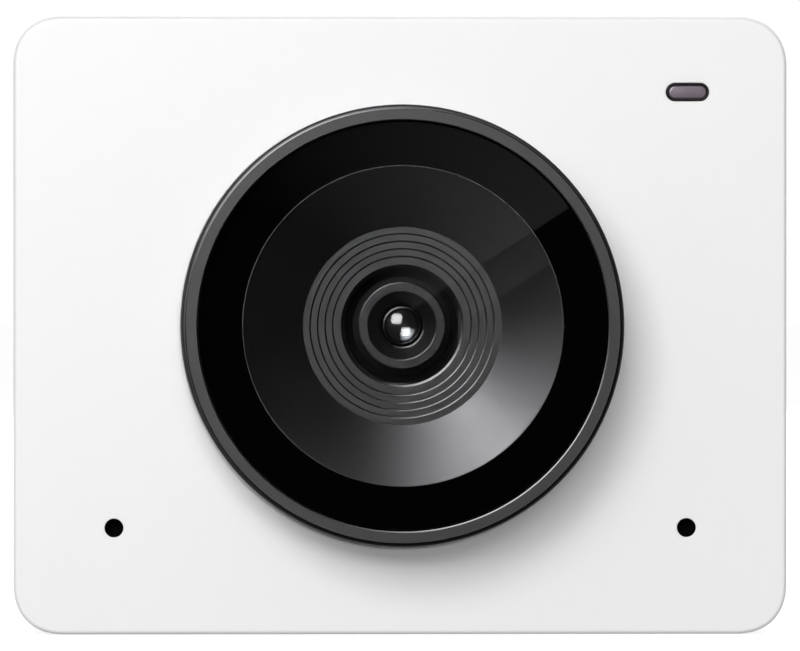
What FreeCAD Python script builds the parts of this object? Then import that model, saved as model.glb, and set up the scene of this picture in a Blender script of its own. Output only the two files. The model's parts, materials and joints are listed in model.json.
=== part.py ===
import FreeCAD, Part
import math
import os

os.makedirs("parts", exist_ok=True)

# A compact webcam that stands on its underside.
# X points to the right seen from the front, the lens looks along -Y, Z points up.
# The origin is under the middle of the whole webcam, on the surface it stands on. Millimetres.

# Body shell
side_margin = 9.9            # barrel to the side of the body
top_margin = 5.3             # barrel to the top and to the underside
body_depth = 14.4
corner_radius = 2.8
front_edge = 0.35            # bevel round the front face
rear_edge = 0.8              # bevel round the rear face
wall = 1.3
rear_plate = 2.0             # thickness of the rear cover
lip_length = 1.2             # locating lip of the rear cover
lip_wall = 0.8
lip_clearance = 0.06

# Barrel and its front
barrel_radius = 12.9
barrel_reach = 6.3           # ring front to the body's front wall
barrel_wall = 2.7
barrel_clearance = 0.05      # barrel in the hole of the front wall
barrel_flange = 1.3          # eight-sided flange past the barrel, behind the front wall
ring_step = 0.2              # ring set back from the barrel's side, a sloped shoulder
ring_width = 0.74
ring_height = 0.45
glass_inset = 0.2
glass_thickness = 0.8
glass_clearance = 0.06
funnel_clearance = 0.1
funnel_mouth_radius = 9.32
funnel_throat_radius = 5.82
funnel_depth = 1.4
funnel_land = 0.15           # upright edge of the throat, in front of the baffle
baffle_glue_ring = 0.9       # baffle past the throat, glued to the funnel's back
baffle_thickness = 0.85
baffle_step_count = 4
baffle_step_pitch = 0.439
baffle_step_drop = 0.11
baffle_step_slant = 0.09
baffle_bore_radius = 3.47
baffle_bore_slant = 0.18

# Flat sides that small round pieces are drawn with
boss_sides = 8
shank_sides = 6
opening_sides = 16

# Fasteners
screw_radius = 0.48
screw_head_radius = 1.0
screw_head = 0.6
clamp_head_radius = 2.0      # wide heads that hold the barrel's flange
rear_screw_radius = 0.78
rear_screw_head_radius = 1.4
rear_screw_head = 0.9
rear_screw_sink = 0.2        # head below the rear face
rear_screw_length = 5.6
sensor_screw_length = 1.9
board_screw_length = 4.0
screw_clearance = 0.12
pilot_clearance = 0.02
pilot_spare = 0.3            # empty end of a screw hole
boss_radius = 1.3
boss_clearance = 0.15

# Lens
nose_depth = 3.35            # ring front to the lens nose
nose_radius = 2.55
nose_base_radius = 2.87
nose_mouth_radius = 1.97
nose_mouth_depth = 0.4
nose_length = 1.1
lens_body_radius = 3.28
lens_length = 4.5
retainer_radius = 1.33
retainer_bore_radius = 1.04
retainer_thickness = 0.3
element_clearance = 0.02
element_gap = 0.08
front_element_length = 1.0
front_element_dome = 0.26
second_element_length = 1.1
third_element_length = 1.2

# Focus module, eight-sided like the coil
corner_cut = 1.6
carrier_setback = 1.4        # lens nose to the carrier's front
carrier_length = 3.0
carrier_wall = 0.65
coil_setback = 0.55
coil_length = 1.9
coil_thickness = 0.6
coil_clearance = 0.02
carrier_flange = 0.3
magnet_clearance = 0.2       # running gap between coil and magnets
magnet_thickness = 0.8
magnet_width = 6.0
frame_rim = 0.3
frame_clearance = 0.02
spring_thickness = 0.08
spring_rim = 0.4
spring_arm = 0.2
spring_hub_clearance = 0.07
can_wall = 0.25
can_headroom = 0.47          # front spring to the can's front wall, room for the travel
can_opening_clearance = 0.3
base_thickness = 0.6
base_rim = 0.42
base_bore = 2.9              # half the width of the light opening
pin_width = 0.35
pin_clearance = 0.04
contact_pitch = 3.0

# Sensor
holder_wall = 1.4            # between the sensor's cavity and the holder's sides
holder_height = 1.8
holder_front = 0.55
filter_width = 7.0
filter_height = 5.6
filter_thickness = 0.3
filter_lip = 0.4
sensor_width = 9.0
sensor_height = 7.6
sensor_thickness = 0.8
sensor_glass_thickness = 0.4
sensor_clearance = 0.3
sensor_board_inset = 0.2     # board's sides to the barrel's bore
sensor_board_thickness = 0.8
sensor_board_cut = 2.5
sensor_screw_edge = 1.0      # screw to the board's side
sensor_screw_wall = 0.36     # barrel left between its bore and the screw
sensor_parts_gap = 0.3
sensor_parts_rows = 5

# Boards
link_width = 8.6
link_depth = 3.0
link_height = 1.1            # gap between the sensor board and the main board
link_base = 0.2
link_wall = 0.8              # between the plug's ridge and the sides
link_clearance = 0.04
main_board_thickness = 1.0
board_edge = 1.95            # microphone centre to the board's edge
board_top_gap = 1.7
board_corner = 1.2
board_boss_gap = 0.4
rear_boss_radius = 1.75
rear_boss_gap = 0.35
rear_boss_rise = 8.4
rear_sleeve = 1.45           # sleeve of the rear cover that meets the boss
notch_clearance = 0.3

# Microphones and status light
mic_offset = 3.98            # sideways from the barrel's edge
mic_drop = 11.93             # below the lens axis
mic_hole_radius = 0.55
mesh_radius = 1.05
mesh_thickness = 0.1
boot_radius = 1.6
mic_width = 3.5
mic_height = 2.65
mic_thickness = 1.0
light_offset = 4.04
light_rise = 13.77
light_width = 2.18
light_height = 0.71
light_rim = 0.19
light_flange = 0.5
light_flange_thickness = 0.6
light_gap = 0.1
led_width = 1.6
led_thickness = 0.6

# Tripod bush, a six-sided block of brass moulded into the underside
tripod_half = 4.0            # middle to each flat side
tripod_bore_radius = 2.6
tripod_length = 4.6
tripod_wall = 0.6
tripod_cap = 0.4
tripod_notch = 0.3
tripod_seam_gap = 0.15

# Heat path
chip_width = 10.0
chip_thickness = 1.1
chip_rise = 4.3              # above the lens axis
pad_thickness = 0.7
sink_width = 27.0
sink_height = 17.0
sink_base = 1.2
fin_count = 9
fin_pitch = 2.4
fin_thickness = 0.8
fin_height = 10.6
fin_gap = 0.25               # fins to the rear cover
vent_width = 1.1
vent_height = 11.0
sink_pin_radius = 0.6
sink_pin_head_radius = 1.1
sink_pin_head = 0.5
sink_pin_inset = 1.9
sink_pin_tip = 0.3           # past the main board

# Small parts on the boards
shield_width = 6.0
shield_height = 10.4
shield_depth = 1.5
shield_metal = 0.2
side_parts_gap = 1.5         # sensor board to the shield and the coils beside it
memory_width = 4.6
memory_height = 8.0
memory_depth = 0.9
inductor_width = 3.0
inductor_depth = 1.3
inductor_pitch = 3.6
crystal_width = 2.5
crystal_depth = 0.6
oscillator_height = 1.6
port_parts_gap = 2.4         # socket to the parts beside it
capacitor_width = 0.6
capacitor_length = 1.1
capacitor_depth = 0.5
side_part_spacing = 0.5

# Type-C socket
port_width = 8.94
port_height = 3.26
port_shell = 0.3
port_inset = 0.4             # mouth behind the rear face
port_drop = 7.8              # below the lens axis
port_clearance = 0.15
port_floor = 0.8
port_base_width = 5.6
tongue_width = 6.69
tongue_thickness = 0.7
tongue_inset = 0.9

# Sizes that follow from the ones above
half_width = barrel_radius + side_margin
half_height = barrel_radius + top_margin
axis_z = half_height
inner_half_width = half_width - wall
inner_half_height = half_height - wall

ring_y = -(body_depth + barrel_reach) / 2
face_y = ring_y + barrel_reach
back_y = face_y + body_depth
inner_y = face_y + wall
seam_y = back_y - rear_plate

shoulder_y = ring_y + ring_height
glass_y = ring_y + glass_inset
rim_y = glass_y + glass_thickness
throat_y = rim_y + funnel_depth
ledge_y = throat_y + funnel_land
baffle_back_y = ledge_y + baffle_thickness
ring_outer_radius = barrel_radius - ring_step
ring_inner_radius = ring_outer_radius - ring_width
glass_radius = ring_inner_radius - glass_clearance
funnel_radius = ring_inner_radius - funnel_clearance
flange_half = barrel_radius + barrel_flange
barrel_bore_radius = barrel_radius - barrel_wall

nose_y = ring_y + nose_depth
retainer_y = nose_y + nose_mouth_depth
lens_shoulder_y = nose_y + nose_length
lens_back_y = nose_y + lens_length
lens_bore_radius = retainer_radius + element_clearance
carrier_y = nose_y + carrier_setback
carrier_back_y = carrier_y + carrier_length
carrier_half = lens_body_radius + carrier_wall
coil_y = carrier_y + coil_setback
coil_back_y = coil_y + coil_length
coil_half = carrier_half + coil_clearance + coil_thickness
magnet_half = coil_half + magnet_clearance
can_inner_half = magnet_half + magnet_thickness
can_half = can_inner_half + can_wall
frame_half = can_inner_half - frame_clearance
magnet_y = carrier_y + frame_rim
front_spring_y = carrier_y - spring_thickness
can_front_y = front_spring_y - can_headroom
can_y = can_front_y - can_wall
base_rim_y = carrier_back_y + spring_thickness
base_y = base_rim_y + base_rim
base_back_y = base_y + base_thickness
board_y = base_back_y + holder_height
board_back_y = board_y + sensor_board_thickness
main_y = board_back_y + link_height
main_back_y = main_y + main_board_thickness

holder_half = sensor_width / 2 + sensor_clearance + holder_wall
sensor_board_half = barrel_bore_radius - sensor_board_inset
sensor_screw_ring = barrel_bore_radius + sensor_screw_wall + screw_radius
sensor_screw_x = sensor_board_half - sensor_screw_edge
sensor_screw_rise = math.sqrt(sensor_screw_ring ** 2 - sensor_screw_x ** 2)

clamp_offset = (flange_half + boss_clearance + boss_radius) / math.sqrt(2)
rear_boss_x = inner_half_width - rear_boss_gap - rear_boss_radius
rear_boss_y = seam_y - rear_sleeve
rear_seat_y = back_y - rear_screw_sink - rear_screw_head
board_boss_x = rear_boss_x - rear_boss_radius - boss_radius - board_boss_gap
mic_x = barrel_radius + mic_offset
mic_z = axis_z - mic_drop
mic_y = main_y - mic_thickness
light_x = barrel_radius + light_offset
light_z = axis_z + light_rise
led_y = main_y - led_thickness
tripod_boss_half = tripod_half + tripod_wall
tripod_y = seam_y - tripod_seam_gap - tripod_boss_half
tripod_top = tripod_length + tripod_cap
tripod_notch_half = tripod_boss_half * 2 / math.sqrt(3) + tripod_notch
port_z = axis_z - port_drop
chip_z = axis_z + chip_rise
pad_y = main_back_y + chip_thickness
sink_y = pad_y + pad_thickness
fin_y = sink_y + sink_base
fin_back_y = seam_y - fin_gap

forward = FreeCAD.Vector(0, 1, 0)
upward = FreeCAD.Vector(0, 0, 1)


def save(name, shape):
    shape.exportStep("parts/" + name + ".step")


def disc(radius, y0, y1, x=0.0, z=axis_z):
    """A round bar along Y from y0 to y1."""
    return Part.makeCylinder(radius, y1 - y0, FreeCAD.Vector(x, y0, z), forward)


def prism(points, y0, y1):
    """A closed outline of (x, z) points pushed along Y from y0 to y1."""
    corners = [FreeCAD.Vector(x, y0, z) for x, z in points]
    face = Part.Face(Part.makePolygon(corners + corners[:1]))
    return face.extrude(FreeCAD.Vector(0, y1 - y0, 0))


def post(radius, y0, y1, x=0.0, z=axis_z, sides=boss_sides):
    """A small round bar with few faces, for screws, bosses and their holes."""
    turn = 2 * math.pi / sides
    points = [(x + radius * math.cos(i * turn), z + radius * math.sin(i * turn))
              for i in range(sides)]
    return prism(points, y0, y1)


def block(width, height, y0, y1, x=0.0, z=axis_z):
    corner = FreeCAD.Vector(x - width / 2, y0, z - height / 2)
    return Part.makeBox(width, y1 - y0, height, corner)


def octagon(half, cut, y0, y1, x=0.0, z=axis_z):
    """A square plate across Y with its corners cut off."""
    near = half - cut
    points = [(half, near), (near, half), (-near, half), (-half, near),
              (-half, -near), (-near, -half), (near, -half), (half, -near)]
    return prism([(x + px, z + pz) for px, pz in points], y0, y1)


def plate(half_x, half_z, radius, y0, y1):
    """A flat plate across Y with four round corners."""
    shape = block(2 * half_x, 2 * half_z, y0, y1)
    upright = [e for e in shape.Edges if abs(e.tangentAt(e.FirstParameter).y) > 0.9]
    return shape.makeFillet(radius, upright)


def pill(width, height, y0, y1, x, z):
    """A flat plate across Y with two half-round ends."""
    reach = (width - height) / 2
    steps = opening_sides // 2
    points = []
    for end, start in ((1, -math.pi / 2), (-1, math.pi / 2)):
        for i in range(steps + 1):
            angle = start + math.pi * i / steps
            points.append((x + end * reach + height / 2 * math.cos(angle),
                           z + height / 2 * math.sin(angle)))
    return prism(points, y0, y1)


def turned(edges):
    face = Part.Face(Part.Wire(edges))
    return face.revolve(FreeCAD.Vector(0, 0, axis_z), forward, 360)


def turned_outline(points):
    """A closed outline of (radius, y) points turned round the lens axis."""
    corners = [FreeCAD.Vector(r, y, axis_z) for r, y in points]
    return turned(Part.makePolygon(corners + corners[:1]).Edges)


def four_corners(offset_x, offset_z):
    """Centres left and right of the lens axis, below and above it."""
    return [(sx * offset_x, axis_z + sz * offset_z) for sx in (-1, 1) for sz in (-1, 1)]


def outline_edges(shape, y):
    """Edges of a plain plate that lie in the plane y."""
    found = []
    for edge in shape.Edges:
        if all(abs(v.Y - y) < 1e-6 for v in edge.Vertexes):
            found.append(edge)
    return found


def screw(radius, head_radius, head, length, seat_y, x, z):
    """A screw driven towards -Y, its head resting on the plane seat_y."""
    shank = post(radius, seat_y - length, seat_y, x, z, shank_sides)
    return shank.fuse(post(head_radius, seat_y, seat_y + head, x, z))


def screw_group(name, radius, head_radius, head, length, seat_y, places):
    screws = [screw(radius, head_radius, head, length, seat_y, x, z) for x, z in places]
    save(name, Part.makeCompound(screws))


def tripod_block(half, top):
    """A six-sided block standing on the underside, two flats facing front and back."""
    reach = half * 2 / math.sqrt(3)
    points = [FreeCAD.Vector(reach * math.cos(math.radians(a)),
                             tripod_y + reach * math.sin(math.radians(a)), 0)
              for a in range(0, 360, 60)]
    face = Part.Face(Part.makePolygon(points + points[:1]))
    return face.extrude(FreeCAD.Vector(0, 0, top))


def make_tripod_insert():
    bore = Part.makeCylinder(tripod_bore_radius, tripod_length,
                             FreeCAD.Vector(0, tripod_y, 0), upward)
    save("tripod_insert", tripod_block(tripod_half, tripod_length).cut(bore))


def add_boss(shell, radius, pilot_radius, top_y, depth, x, z):
    """A screw boss on the inside of the front wall, with its blind hole."""
    shell = shell.fuse(post(radius, inner_y, top_y, x, z))
    return shell.cut(post(pilot_radius, top_y - depth, top_y, x, z, shank_sides))


def make_front_cover():
    shell = plate(half_width, half_height, corner_radius, face_y, seam_y)
    shell = shell.makeChamfer(front_edge, outline_edges(shell, face_y))
    inner_cut = corner_radius - wall
    shell = shell.cut(framed(inner_half_width, inner_half_height, inner_cut, inner_y, seam_y))
    shell = shell.fuse(tripod_block(tripod_boss_half, tripod_top))
    shell = shell.cut(tripod_block(tripod_half, tripod_length))

    pilot = screw_radius + pilot_clearance
    depth = clamp_screw_length() + pilot_spare
    for x, z in four_corners(clamp_offset, clamp_offset):
        shell = add_boss(shell, boss_radius, pilot, board_y, depth, x, z)
    depth = board_screw_length - main_board_thickness + pilot_spare
    for x, z in four_corners(board_boss_x, rear_boss_rise):
        shell = add_boss(shell, boss_radius, pilot, main_y, depth, x, z)
    pilot = rear_screw_radius + pilot_clearance
    depth = rear_screw_length - (rear_seat_y - rear_boss_y) + pilot_spare
    for x, z in four_corners(rear_boss_x, rear_boss_rise):
        shell = add_boss(shell, rear_boss_radius, pilot, rear_boss_y, depth, x, z)

    shell = shell.cut(disc(barrel_radius + barrel_clearance, face_y, inner_y))
    for side in (-1, 1):
        hole = post(mic_hole_radius, face_y, inner_y, side * mic_x, mic_z, opening_sides)
        shell = shell.cut(hole)
    window = pill(light_width + 2 * light_rim, light_height + 2 * light_rim, face_y, inner_y,
                  light_x, light_z)
    save("front_cover", shell.cut(window))


def clamp_screw_length():
    """From the flange's back down the boss, ending short of the front wall's face."""
    return board_y - inner_y - pilot_spare


def make_rear_cover():
    cover = plate(half_width, half_height, corner_radius, seam_y, back_y)
    cover = cover.makeChamfer(rear_edge, outline_edges(cover, back_y))
    lip_half_x = inner_half_width - lip_clearance
    lip_half_z = inner_half_height - lip_clearance
    lip_y = seam_y - lip_length
    lip = framed(lip_half_x, lip_half_z, corner_radius - wall, lip_y, seam_y)
    core = block(2 * (lip_half_x - lip_wall), 2 * (lip_half_z - lip_wall), lip_y, seam_y)
    notch = block(2 * tripod_notch_half, half_height, lip_y, seam_y, 0, half_height / 2)
    cover = cover.fuse(lip.cut(core).cut(notch))
    for x, z in four_corners(rear_boss_x, rear_boss_rise):
        cover = cover.fuse(post(rear_boss_radius, rear_boss_y, seam_y, x, z))
    cover = cover.removeSplitter()

    well_radius = rear_screw_head_radius + screw_clearance
    for x, z in four_corners(rear_boss_x, rear_boss_rise):
        cover = cover.cut(post(well_radius, rear_seat_y, back_y, x, z, opening_sides))
        hole_radius = rear_screw_radius + screw_clearance
        cover = cover.cut(post(hole_radius, rear_boss_y, rear_seat_y, x, z, shank_sides))
    for x in fin_gaps():
        cover = cover.cut(block(vent_width, vent_height, seam_y, back_y, x, chip_z))
    hole_width = port_width + 2 * port_clearance
    hole_height = port_height + 2 * port_clearance
    save("rear_cover", cover.cut(pill(hole_width, hole_height, seam_y, back_y, 0, port_z)))


def framed(half_x, half_z, cut, y0, y1):
    """A rectangular plate across Y with its corners cut off."""
    near_x = half_x - cut
    near_z = half_z - cut
    points = [(half_x, near_z), (near_x, half_z), (-near_x, half_z), (-half_x, near_z),
              (-half_x, -near_z), (-near_x, -half_z), (near_x, -half_z), (half_x, -near_z)]
    return prism([(x, axis_z + z) for x, z in points], y0, y1)


def fin_gaps():
    """Middles of the spaces between the fins, where the vents are."""
    first = -(fin_count - 2) / 2 * fin_pitch
    return [first + i * fin_pitch for i in range(fin_count - 1)]


def make_barrel_tube():
    outline = [
        (ring_inner_radius, shoulder_y),
        (ring_outer_radius, shoulder_y),
        (barrel_radius, shoulder_y + ring_step),
        (barrel_radius, board_y),
        (barrel_bore_radius, board_y),
        (barrel_bore_radius, ledge_y),
        (ring_inner_radius, ledge_y),
    ]
    flange = octagon(flange_half, flange_half * (2 - math.sqrt(2)), inner_y, board_y)
    flange = flange.cut(disc(barrel_bore_radius, inner_y, board_y))
    tube = turned_outline(outline).fuse(flange).removeSplitter()
    notch_top = axis_z - barrel_radius
    tube = tube.cut(block(2 * tripod_notch_half, notch_top, inner_y, board_y, 0, notch_top / 2))
    depth = sensor_screw_length - sensor_board_thickness + pilot_spare
    for x, z in four_corners(sensor_screw_x, sensor_screw_rise):
        tube = tube.cut(post(screw_radius + pilot_clearance, board_y - depth, board_y, x, z,
                             shank_sides))
    save("barrel_tube", tube)


def make_bezel_ring():
    ring = disc(ring_outer_radius, ring_y, shoulder_y)
    save("bezel_ring", ring.cut(disc(ring_inner_radius, ring_y, shoulder_y)))
    save("cover_glass", disc(glass_radius, glass_y, rim_y))


def make_funnel_cone():
    outline = [
        (funnel_mouth_radius, rim_y),
        (funnel_radius, rim_y),
        (funnel_radius, ledge_y),
        (funnel_throat_radius, ledge_y),
        (funnel_throat_radius, throat_y),
    ]
    save("funnel_cone", turned_outline(outline))


def make_stepped_baffle():
    """Flat rings that step down towards the lens, each step a short slant."""
    outer_radius = funnel_throat_radius + baffle_glue_ring
    outline = [(outer_radius, ledge_y)]
    y = ledge_y
    for i in range(baffle_step_count):
        radius = funnel_throat_radius - (i + 1) * baffle_step_pitch
        outline.append((radius + baffle_step_slant / 2, y))
        y += baffle_step_drop
        outline.append((radius - baffle_step_slant / 2, y))
    outline += [
        (baffle_bore_radius + baffle_bore_slant, y),
        (baffle_bore_radius, y + baffle_bore_slant),
        (baffle_bore_radius, baffle_back_y),
        (outer_radius, baffle_back_y),
    ]
    save("stepped_baffle", turned_outline(outline))


def make_lens_barrel():
    outline = [
        (nose_mouth_radius, nose_y),
        (nose_radius, nose_y),
        (nose_base_radius, lens_shoulder_y),
        (lens_body_radius, lens_shoulder_y),
        (lens_body_radius, lens_back_y),
        (lens_bore_radius, lens_back_y),
        (lens_bore_radius, retainer_y),
    ]
    save("lens_barrel", turned_outline(outline))
    retainer = disc(retainer_radius, retainer_y, retainer_y + retainer_thickness)
    bore = disc(retainer_bore_radius, retainer_y, retainer_y + retainer_thickness)
    save("lens_retainer", retainer.cut(bore))


def make_lens_elements():
    """Three glasses stacked in the lens barrel, nearly touching each other."""
    seat_y = retainer_y + retainer_thickness
    back_y = seat_y + front_element_length
    clear = retainer_bore_radius - element_clearance
    sphere = (clear * clear + front_element_dome * front_element_dome) / (2 * front_element_dome)
    fall = sphere - math.sqrt(sphere * sphere - clear * clear / 4)
    pole = FreeCAD.Vector(0, seat_y - front_element_dome, axis_z)
    middle = FreeCAD.Vector(clear / 2, seat_y - front_element_dome + fall, axis_z)
    corners = [FreeCAD.Vector(r, y, axis_z) for r, y in
               ((clear, seat_y), (retainer_radius, seat_y), (retainer_radius, back_y),
                (0, back_y))] + [pole]
    dome = Part.Arc(pole, middle, corners[0]).toShape()
    save("front_element", turned([dome] + Part.makePolygon(corners).Edges))
    y = back_y + element_gap
    save("second_element", disc(retainer_radius, y, y + second_element_length))
    y += second_element_length + element_gap
    save("third_element", disc(retainer_radius, y, y + third_element_length))


def make_focus_carrier():
    body = octagon(carrier_half, corner_cut, carrier_y, carrier_back_y)
    flange = octagon(carrier_half + carrier_flange, corner_cut, coil_back_y,
                     coil_back_y + carrier_flange)
    bore = disc(lens_body_radius + element_clearance, carrier_y, carrier_back_y)
    save("focus_carrier", body.fuse(flange).removeSplitter().cut(bore))
    coil = octagon(coil_half, corner_cut, coil_y, coil_back_y)
    hole = octagon(carrier_half + coil_clearance, corner_cut, coil_y, coil_back_y)
    save("focus_coil", coil.cut(hole))


def make_magnets():
    magnets = []
    middle = magnet_half + magnet_thickness / 2
    for side in (-1, 1):
        magnets.append(block(magnet_thickness, magnet_width, magnet_y, carrier_back_y,
                             side * middle, axis_z))
        magnets.append(block(magnet_width, magnet_thickness, magnet_y, carrier_back_y,
                             0, axis_z + side * middle))
    save("focus_magnets", Part.makeCompound(magnets))


def pin_places():
    """On the diagonals, in the middle of the springs' rim."""
    outer = 2 * frame_half - corner_cut
    inner = 2 * (frame_half - spring_rim) - corner_cut
    offset = (outer + inner) / 4
    return four_corners(offset, offset)


def make_focus_frame():
    """The plastic frame between can and coil that holds the magnets."""
    frame = octagon(frame_half, corner_cut, carrier_y, carrier_back_y)
    frame = frame.cut(octagon(magnet_half, corner_cut, carrier_y, carrier_back_y))
    pocket = magnet_width + 2 * frame_clearance
    frame = frame.cut(block(pocket, 4 * can_half, magnet_y, carrier_back_y))
    frame = frame.cut(block(4 * can_half, pocket, magnet_y, carrier_back_y))
    for x, z in pin_places():
        frame = frame.fuse(block(pin_width, pin_width, can_front_y, carrier_y, x, z))
    save("focus_frame", frame.removeSplitter())


def leaf_spring(y0):
    """An etched leaf: outer rim, hub on the carrier, four bent arms between them."""
    y1 = y0 + spring_thickness
    rim_half = frame_half - spring_rim
    hub_half = lens_body_radius + spring_hub_clearance
    spring = octagon(frame_half, corner_cut, y0, y1).cut(octagon(rim_half, corner_cut, y0, y1))
    hub = octagon(carrier_half, corner_cut, y0, y1).cut(octagon(hub_half, corner_cut, y0, y1))
    spring = spring.fuse(hub)
    lane = (carrier_half + rim_half) / 2
    run = frame_half - corner_cut
    centre = FreeCAD.Vector(0, 0, axis_z)
    for i in range(4):
        along = block(run, spring_arm, y0, y1, run / 2 - spring_arm / 2, axis_z + lane)
        inward = block(spring_arm, lane - hub_half, y0, y1, 0, axis_z + (lane + hub_half) / 2)
        outward = block(spring_arm, frame_half - lane, y0, y1, run - spring_arm,
                        axis_z + (frame_half + lane) / 2)
        arm = along.fuse(inward).fuse(outward)
        arm.rotate(centre, forward, i * 90.0)
        spring = spring.fuse(arm)
    return spring.removeSplitter()


def make_springs():
    front = leaf_spring(front_spring_y)
    hole = pin_width + 2 * pin_clearance
    for x, z in pin_places():
        front = front.cut(block(hole, hole, front_spring_y, carrier_y, x, z))
    save("front_leaf_spring", front)
    save("rear_leaf_spring", leaf_spring(carrier_back_y))


def make_actuator():
    can = octagon(can_half, corner_cut, can_y, base_y)
    can = can.cut(octagon(can_inner_half, corner_cut, can_front_y, base_y))
    opening = lens_body_radius + can_opening_clearance
    save("actuator_can", can.cut(disc(opening, can_y, can_front_y)))

    base = octagon(can_half, corner_cut, base_y, base_back_y)
    rim = octagon(frame_half, corner_cut, base_rim_y, base_y)
    rim = rim.cut(octagon(magnet_half, corner_cut, base_rim_y, base_y))
    base = base.fuse(rim).cut(octagon(base_bore, corner_cut, base_y, base_back_y))
    hole = pin_width + 2 * pin_clearance
    for x in contact_places():
        base = base.cut(block(hole, hole, base_y, base_back_y, x, contact_z()))
    save("actuator_base", base.removeSplitter())
    pins = [block(pin_width, pin_width, base_y, board_y, x, contact_z())
            for x in contact_places()]
    save("actuator_pins", Part.makeCompound(pins))


def contact_places():
    return (-contact_pitch / 2, contact_pitch / 2)


def contact_z():
    """Half way between the filter holder's cavity and the edge of the base."""
    return axis_z - (sensor_height / 2 + sensor_clearance + can_half) / 2


def make_filter_holder():
    cavity_width = sensor_width + 2 * sensor_clearance
    cavity_height = sensor_height + 2 * sensor_clearance
    holder = octagon(holder_half, corner_cut, base_back_y, board_y)
    window_width = filter_width - 2 * filter_lip
    window_height = filter_height - 2 * filter_lip
    seat_width = filter_width + 2 * pin_clearance
    seat_height = filter_height + 2 * pin_clearance
    filter_back_y = base_back_y + filter_thickness
    holder = holder.cut(block(cavity_width, cavity_height, base_back_y + holder_front, board_y))
    holder = holder.cut(block(window_width, window_height, base_back_y, board_y))
    holder = holder.cut(block(seat_width, seat_height, base_back_y, filter_back_y))
    hole = pin_width + 2 * pin_clearance
    for x in contact_places():
        holder = holder.cut(block(hole, hole, base_back_y, board_y, x, contact_z()))
    save("filter_holder", holder)
    save("ir_filter", block(filter_width, filter_height, base_back_y, filter_back_y))


def make_sensor():
    package_y = board_y - sensor_thickness
    glass_y0 = package_y - sensor_glass_thickness
    save("image_sensor", block(sensor_width, sensor_height, package_y, board_y))
    glass = block(sensor_width - 2 * filter_lip, sensor_height - 2 * filter_lip,
                  glass_y0, package_y)
    save("sensor_glass", glass)


def make_sensor_board():
    board = octagon(sensor_board_half, sensor_board_cut, board_y, board_back_y)
    places = four_corners(sensor_screw_x, sensor_screw_rise)
    for x, z in places:
        board = board.cut(post(screw_radius + screw_clearance, board_y, board_back_y, x, z,
                               shank_sides))
    save("sensor_board", board)
    screw_group("sensor_screws", screw_radius, screw_head_radius, screw_head,
                sensor_screw_length, board_back_y, places)
    edge = (holder_half + sensor_board_half) / 2
    reach = math.sqrt((barrel_bore_radius - sensor_parts_gap) ** 2
                      - (edge + capacitor_width / 2) ** 2) - capacitor_length / 2
    pitch = 2 * reach / (sensor_parts_rows - 1)
    parts = []
    for i in range(sensor_parts_rows):
        for side in (-1, 1):
            parts.append(block(capacitor_width, capacitor_length, board_y - capacitor_depth,
                               board_y, side * edge, axis_z - reach + i * pitch))
    parts.append(block(crystal_width, oscillator_height, board_y - crystal_depth, board_y,
                       0, axis_z + edge))
    save("sensor_board_parts", Part.makeCompound(parts))


def make_board_link():
    """A plug on the sensor board and its socket on the main board."""
    ridge_width = link_width - 2 * link_wall
    ridge_depth = link_depth - 2 * link_wall
    ridge_end_y = main_y - link_base
    socket_y = board_back_y + link_base + link_clearance
    plug = block(link_width, link_depth, board_back_y, board_back_y + link_base)
    ridge = block(ridge_width, ridge_depth, board_back_y, ridge_end_y)
    save("link_plug", plug.fuse(ridge).removeSplitter())
    socket = block(link_width, link_depth, socket_y, main_y)
    slot = block(ridge_width + 2 * link_clearance, ridge_depth + 2 * link_clearance,
                 socket_y, ridge_end_y + link_clearance)
    save("link_socket", socket.cut(slot))


def make_main_board():
    low = mic_z - board_edge
    high = 2 * half_height - wall - board_top_gap
    board_half = mic_x + board_edge
    near = board_half - board_corner
    outline = [
        (-board_half, low + board_corner), (-near, low),
        (-tripod_notch_half, low), (-tripod_notch_half, tripod_top + tripod_notch),
        (tripod_notch_half, tripod_top + tripod_notch), (tripod_notch_half, low),
        (near, low), (board_half, low + board_corner),
        (board_half, high - board_corner), (near, high),
        (-near, high), (-board_half, high - board_corner),
    ]
    board = prism(outline, main_y, main_back_y)
    for x, z in four_corners(rear_boss_x, rear_boss_rise):
        board = board.cut(post(rear_boss_radius + notch_clearance, main_y, main_back_y, x, z))
    places = four_corners(board_boss_x, rear_boss_rise)
    for x, z in places:
        board = board.cut(post(screw_radius + screw_clearance, main_y, main_back_y, x, z,
                               shank_sides))
    for x, z in sink_pin_places():
        board = board.cut(post(sink_pin_radius + pilot_clearance, main_y, main_back_y, x, z,
                               shank_sides))
    save("main_board", board)
    screw_group("main_board_screws", screw_radius, screw_head_radius, screw_head,
                board_screw_length, main_back_y, places)


def sink_pin_places():
    reach_x = sink_width / 2 - sink_pin_inset
    reach_z = sink_height / 2 - sink_pin_inset
    return [(-reach_x, chip_z + reach_z), (reach_x, chip_z - reach_z)]


def make_heat_path():
    save("image_processor", block(chip_width, chip_width, main_back_y, pad_y, 0, chip_z))
    save("thermal_pad", block(chip_width, chip_width, pad_y, sink_y, 0, chip_z))
    sink = block(sink_width, sink_height, sink_y, fin_y, 0, chip_z)
    for i in range(fin_count):
        x = (i - (fin_count - 1) / 2) * fin_pitch
        sink = sink.fuse(block(fin_thickness, fin_height, fin_y, fin_back_y, x, chip_z))
    for x, z in sink_pin_places():
        sink = sink.fuse(post(sink_pin_head_radius, main_back_y, sink_y, x, z))
    sink = sink.removeSplitter()
    for x, z in sink_pin_places():
        sink = sink.cut(post(sink_pin_radius + pilot_clearance, main_back_y, fin_y, x, z,
                             shank_sides))
    save("heat_sink", sink)
    screw_group("heat_sink_pins", sink_pin_radius, sink_pin_head_radius, sink_pin_head,
                fin_y - main_y + sink_pin_tip, fin_y, sink_pin_places())


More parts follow.
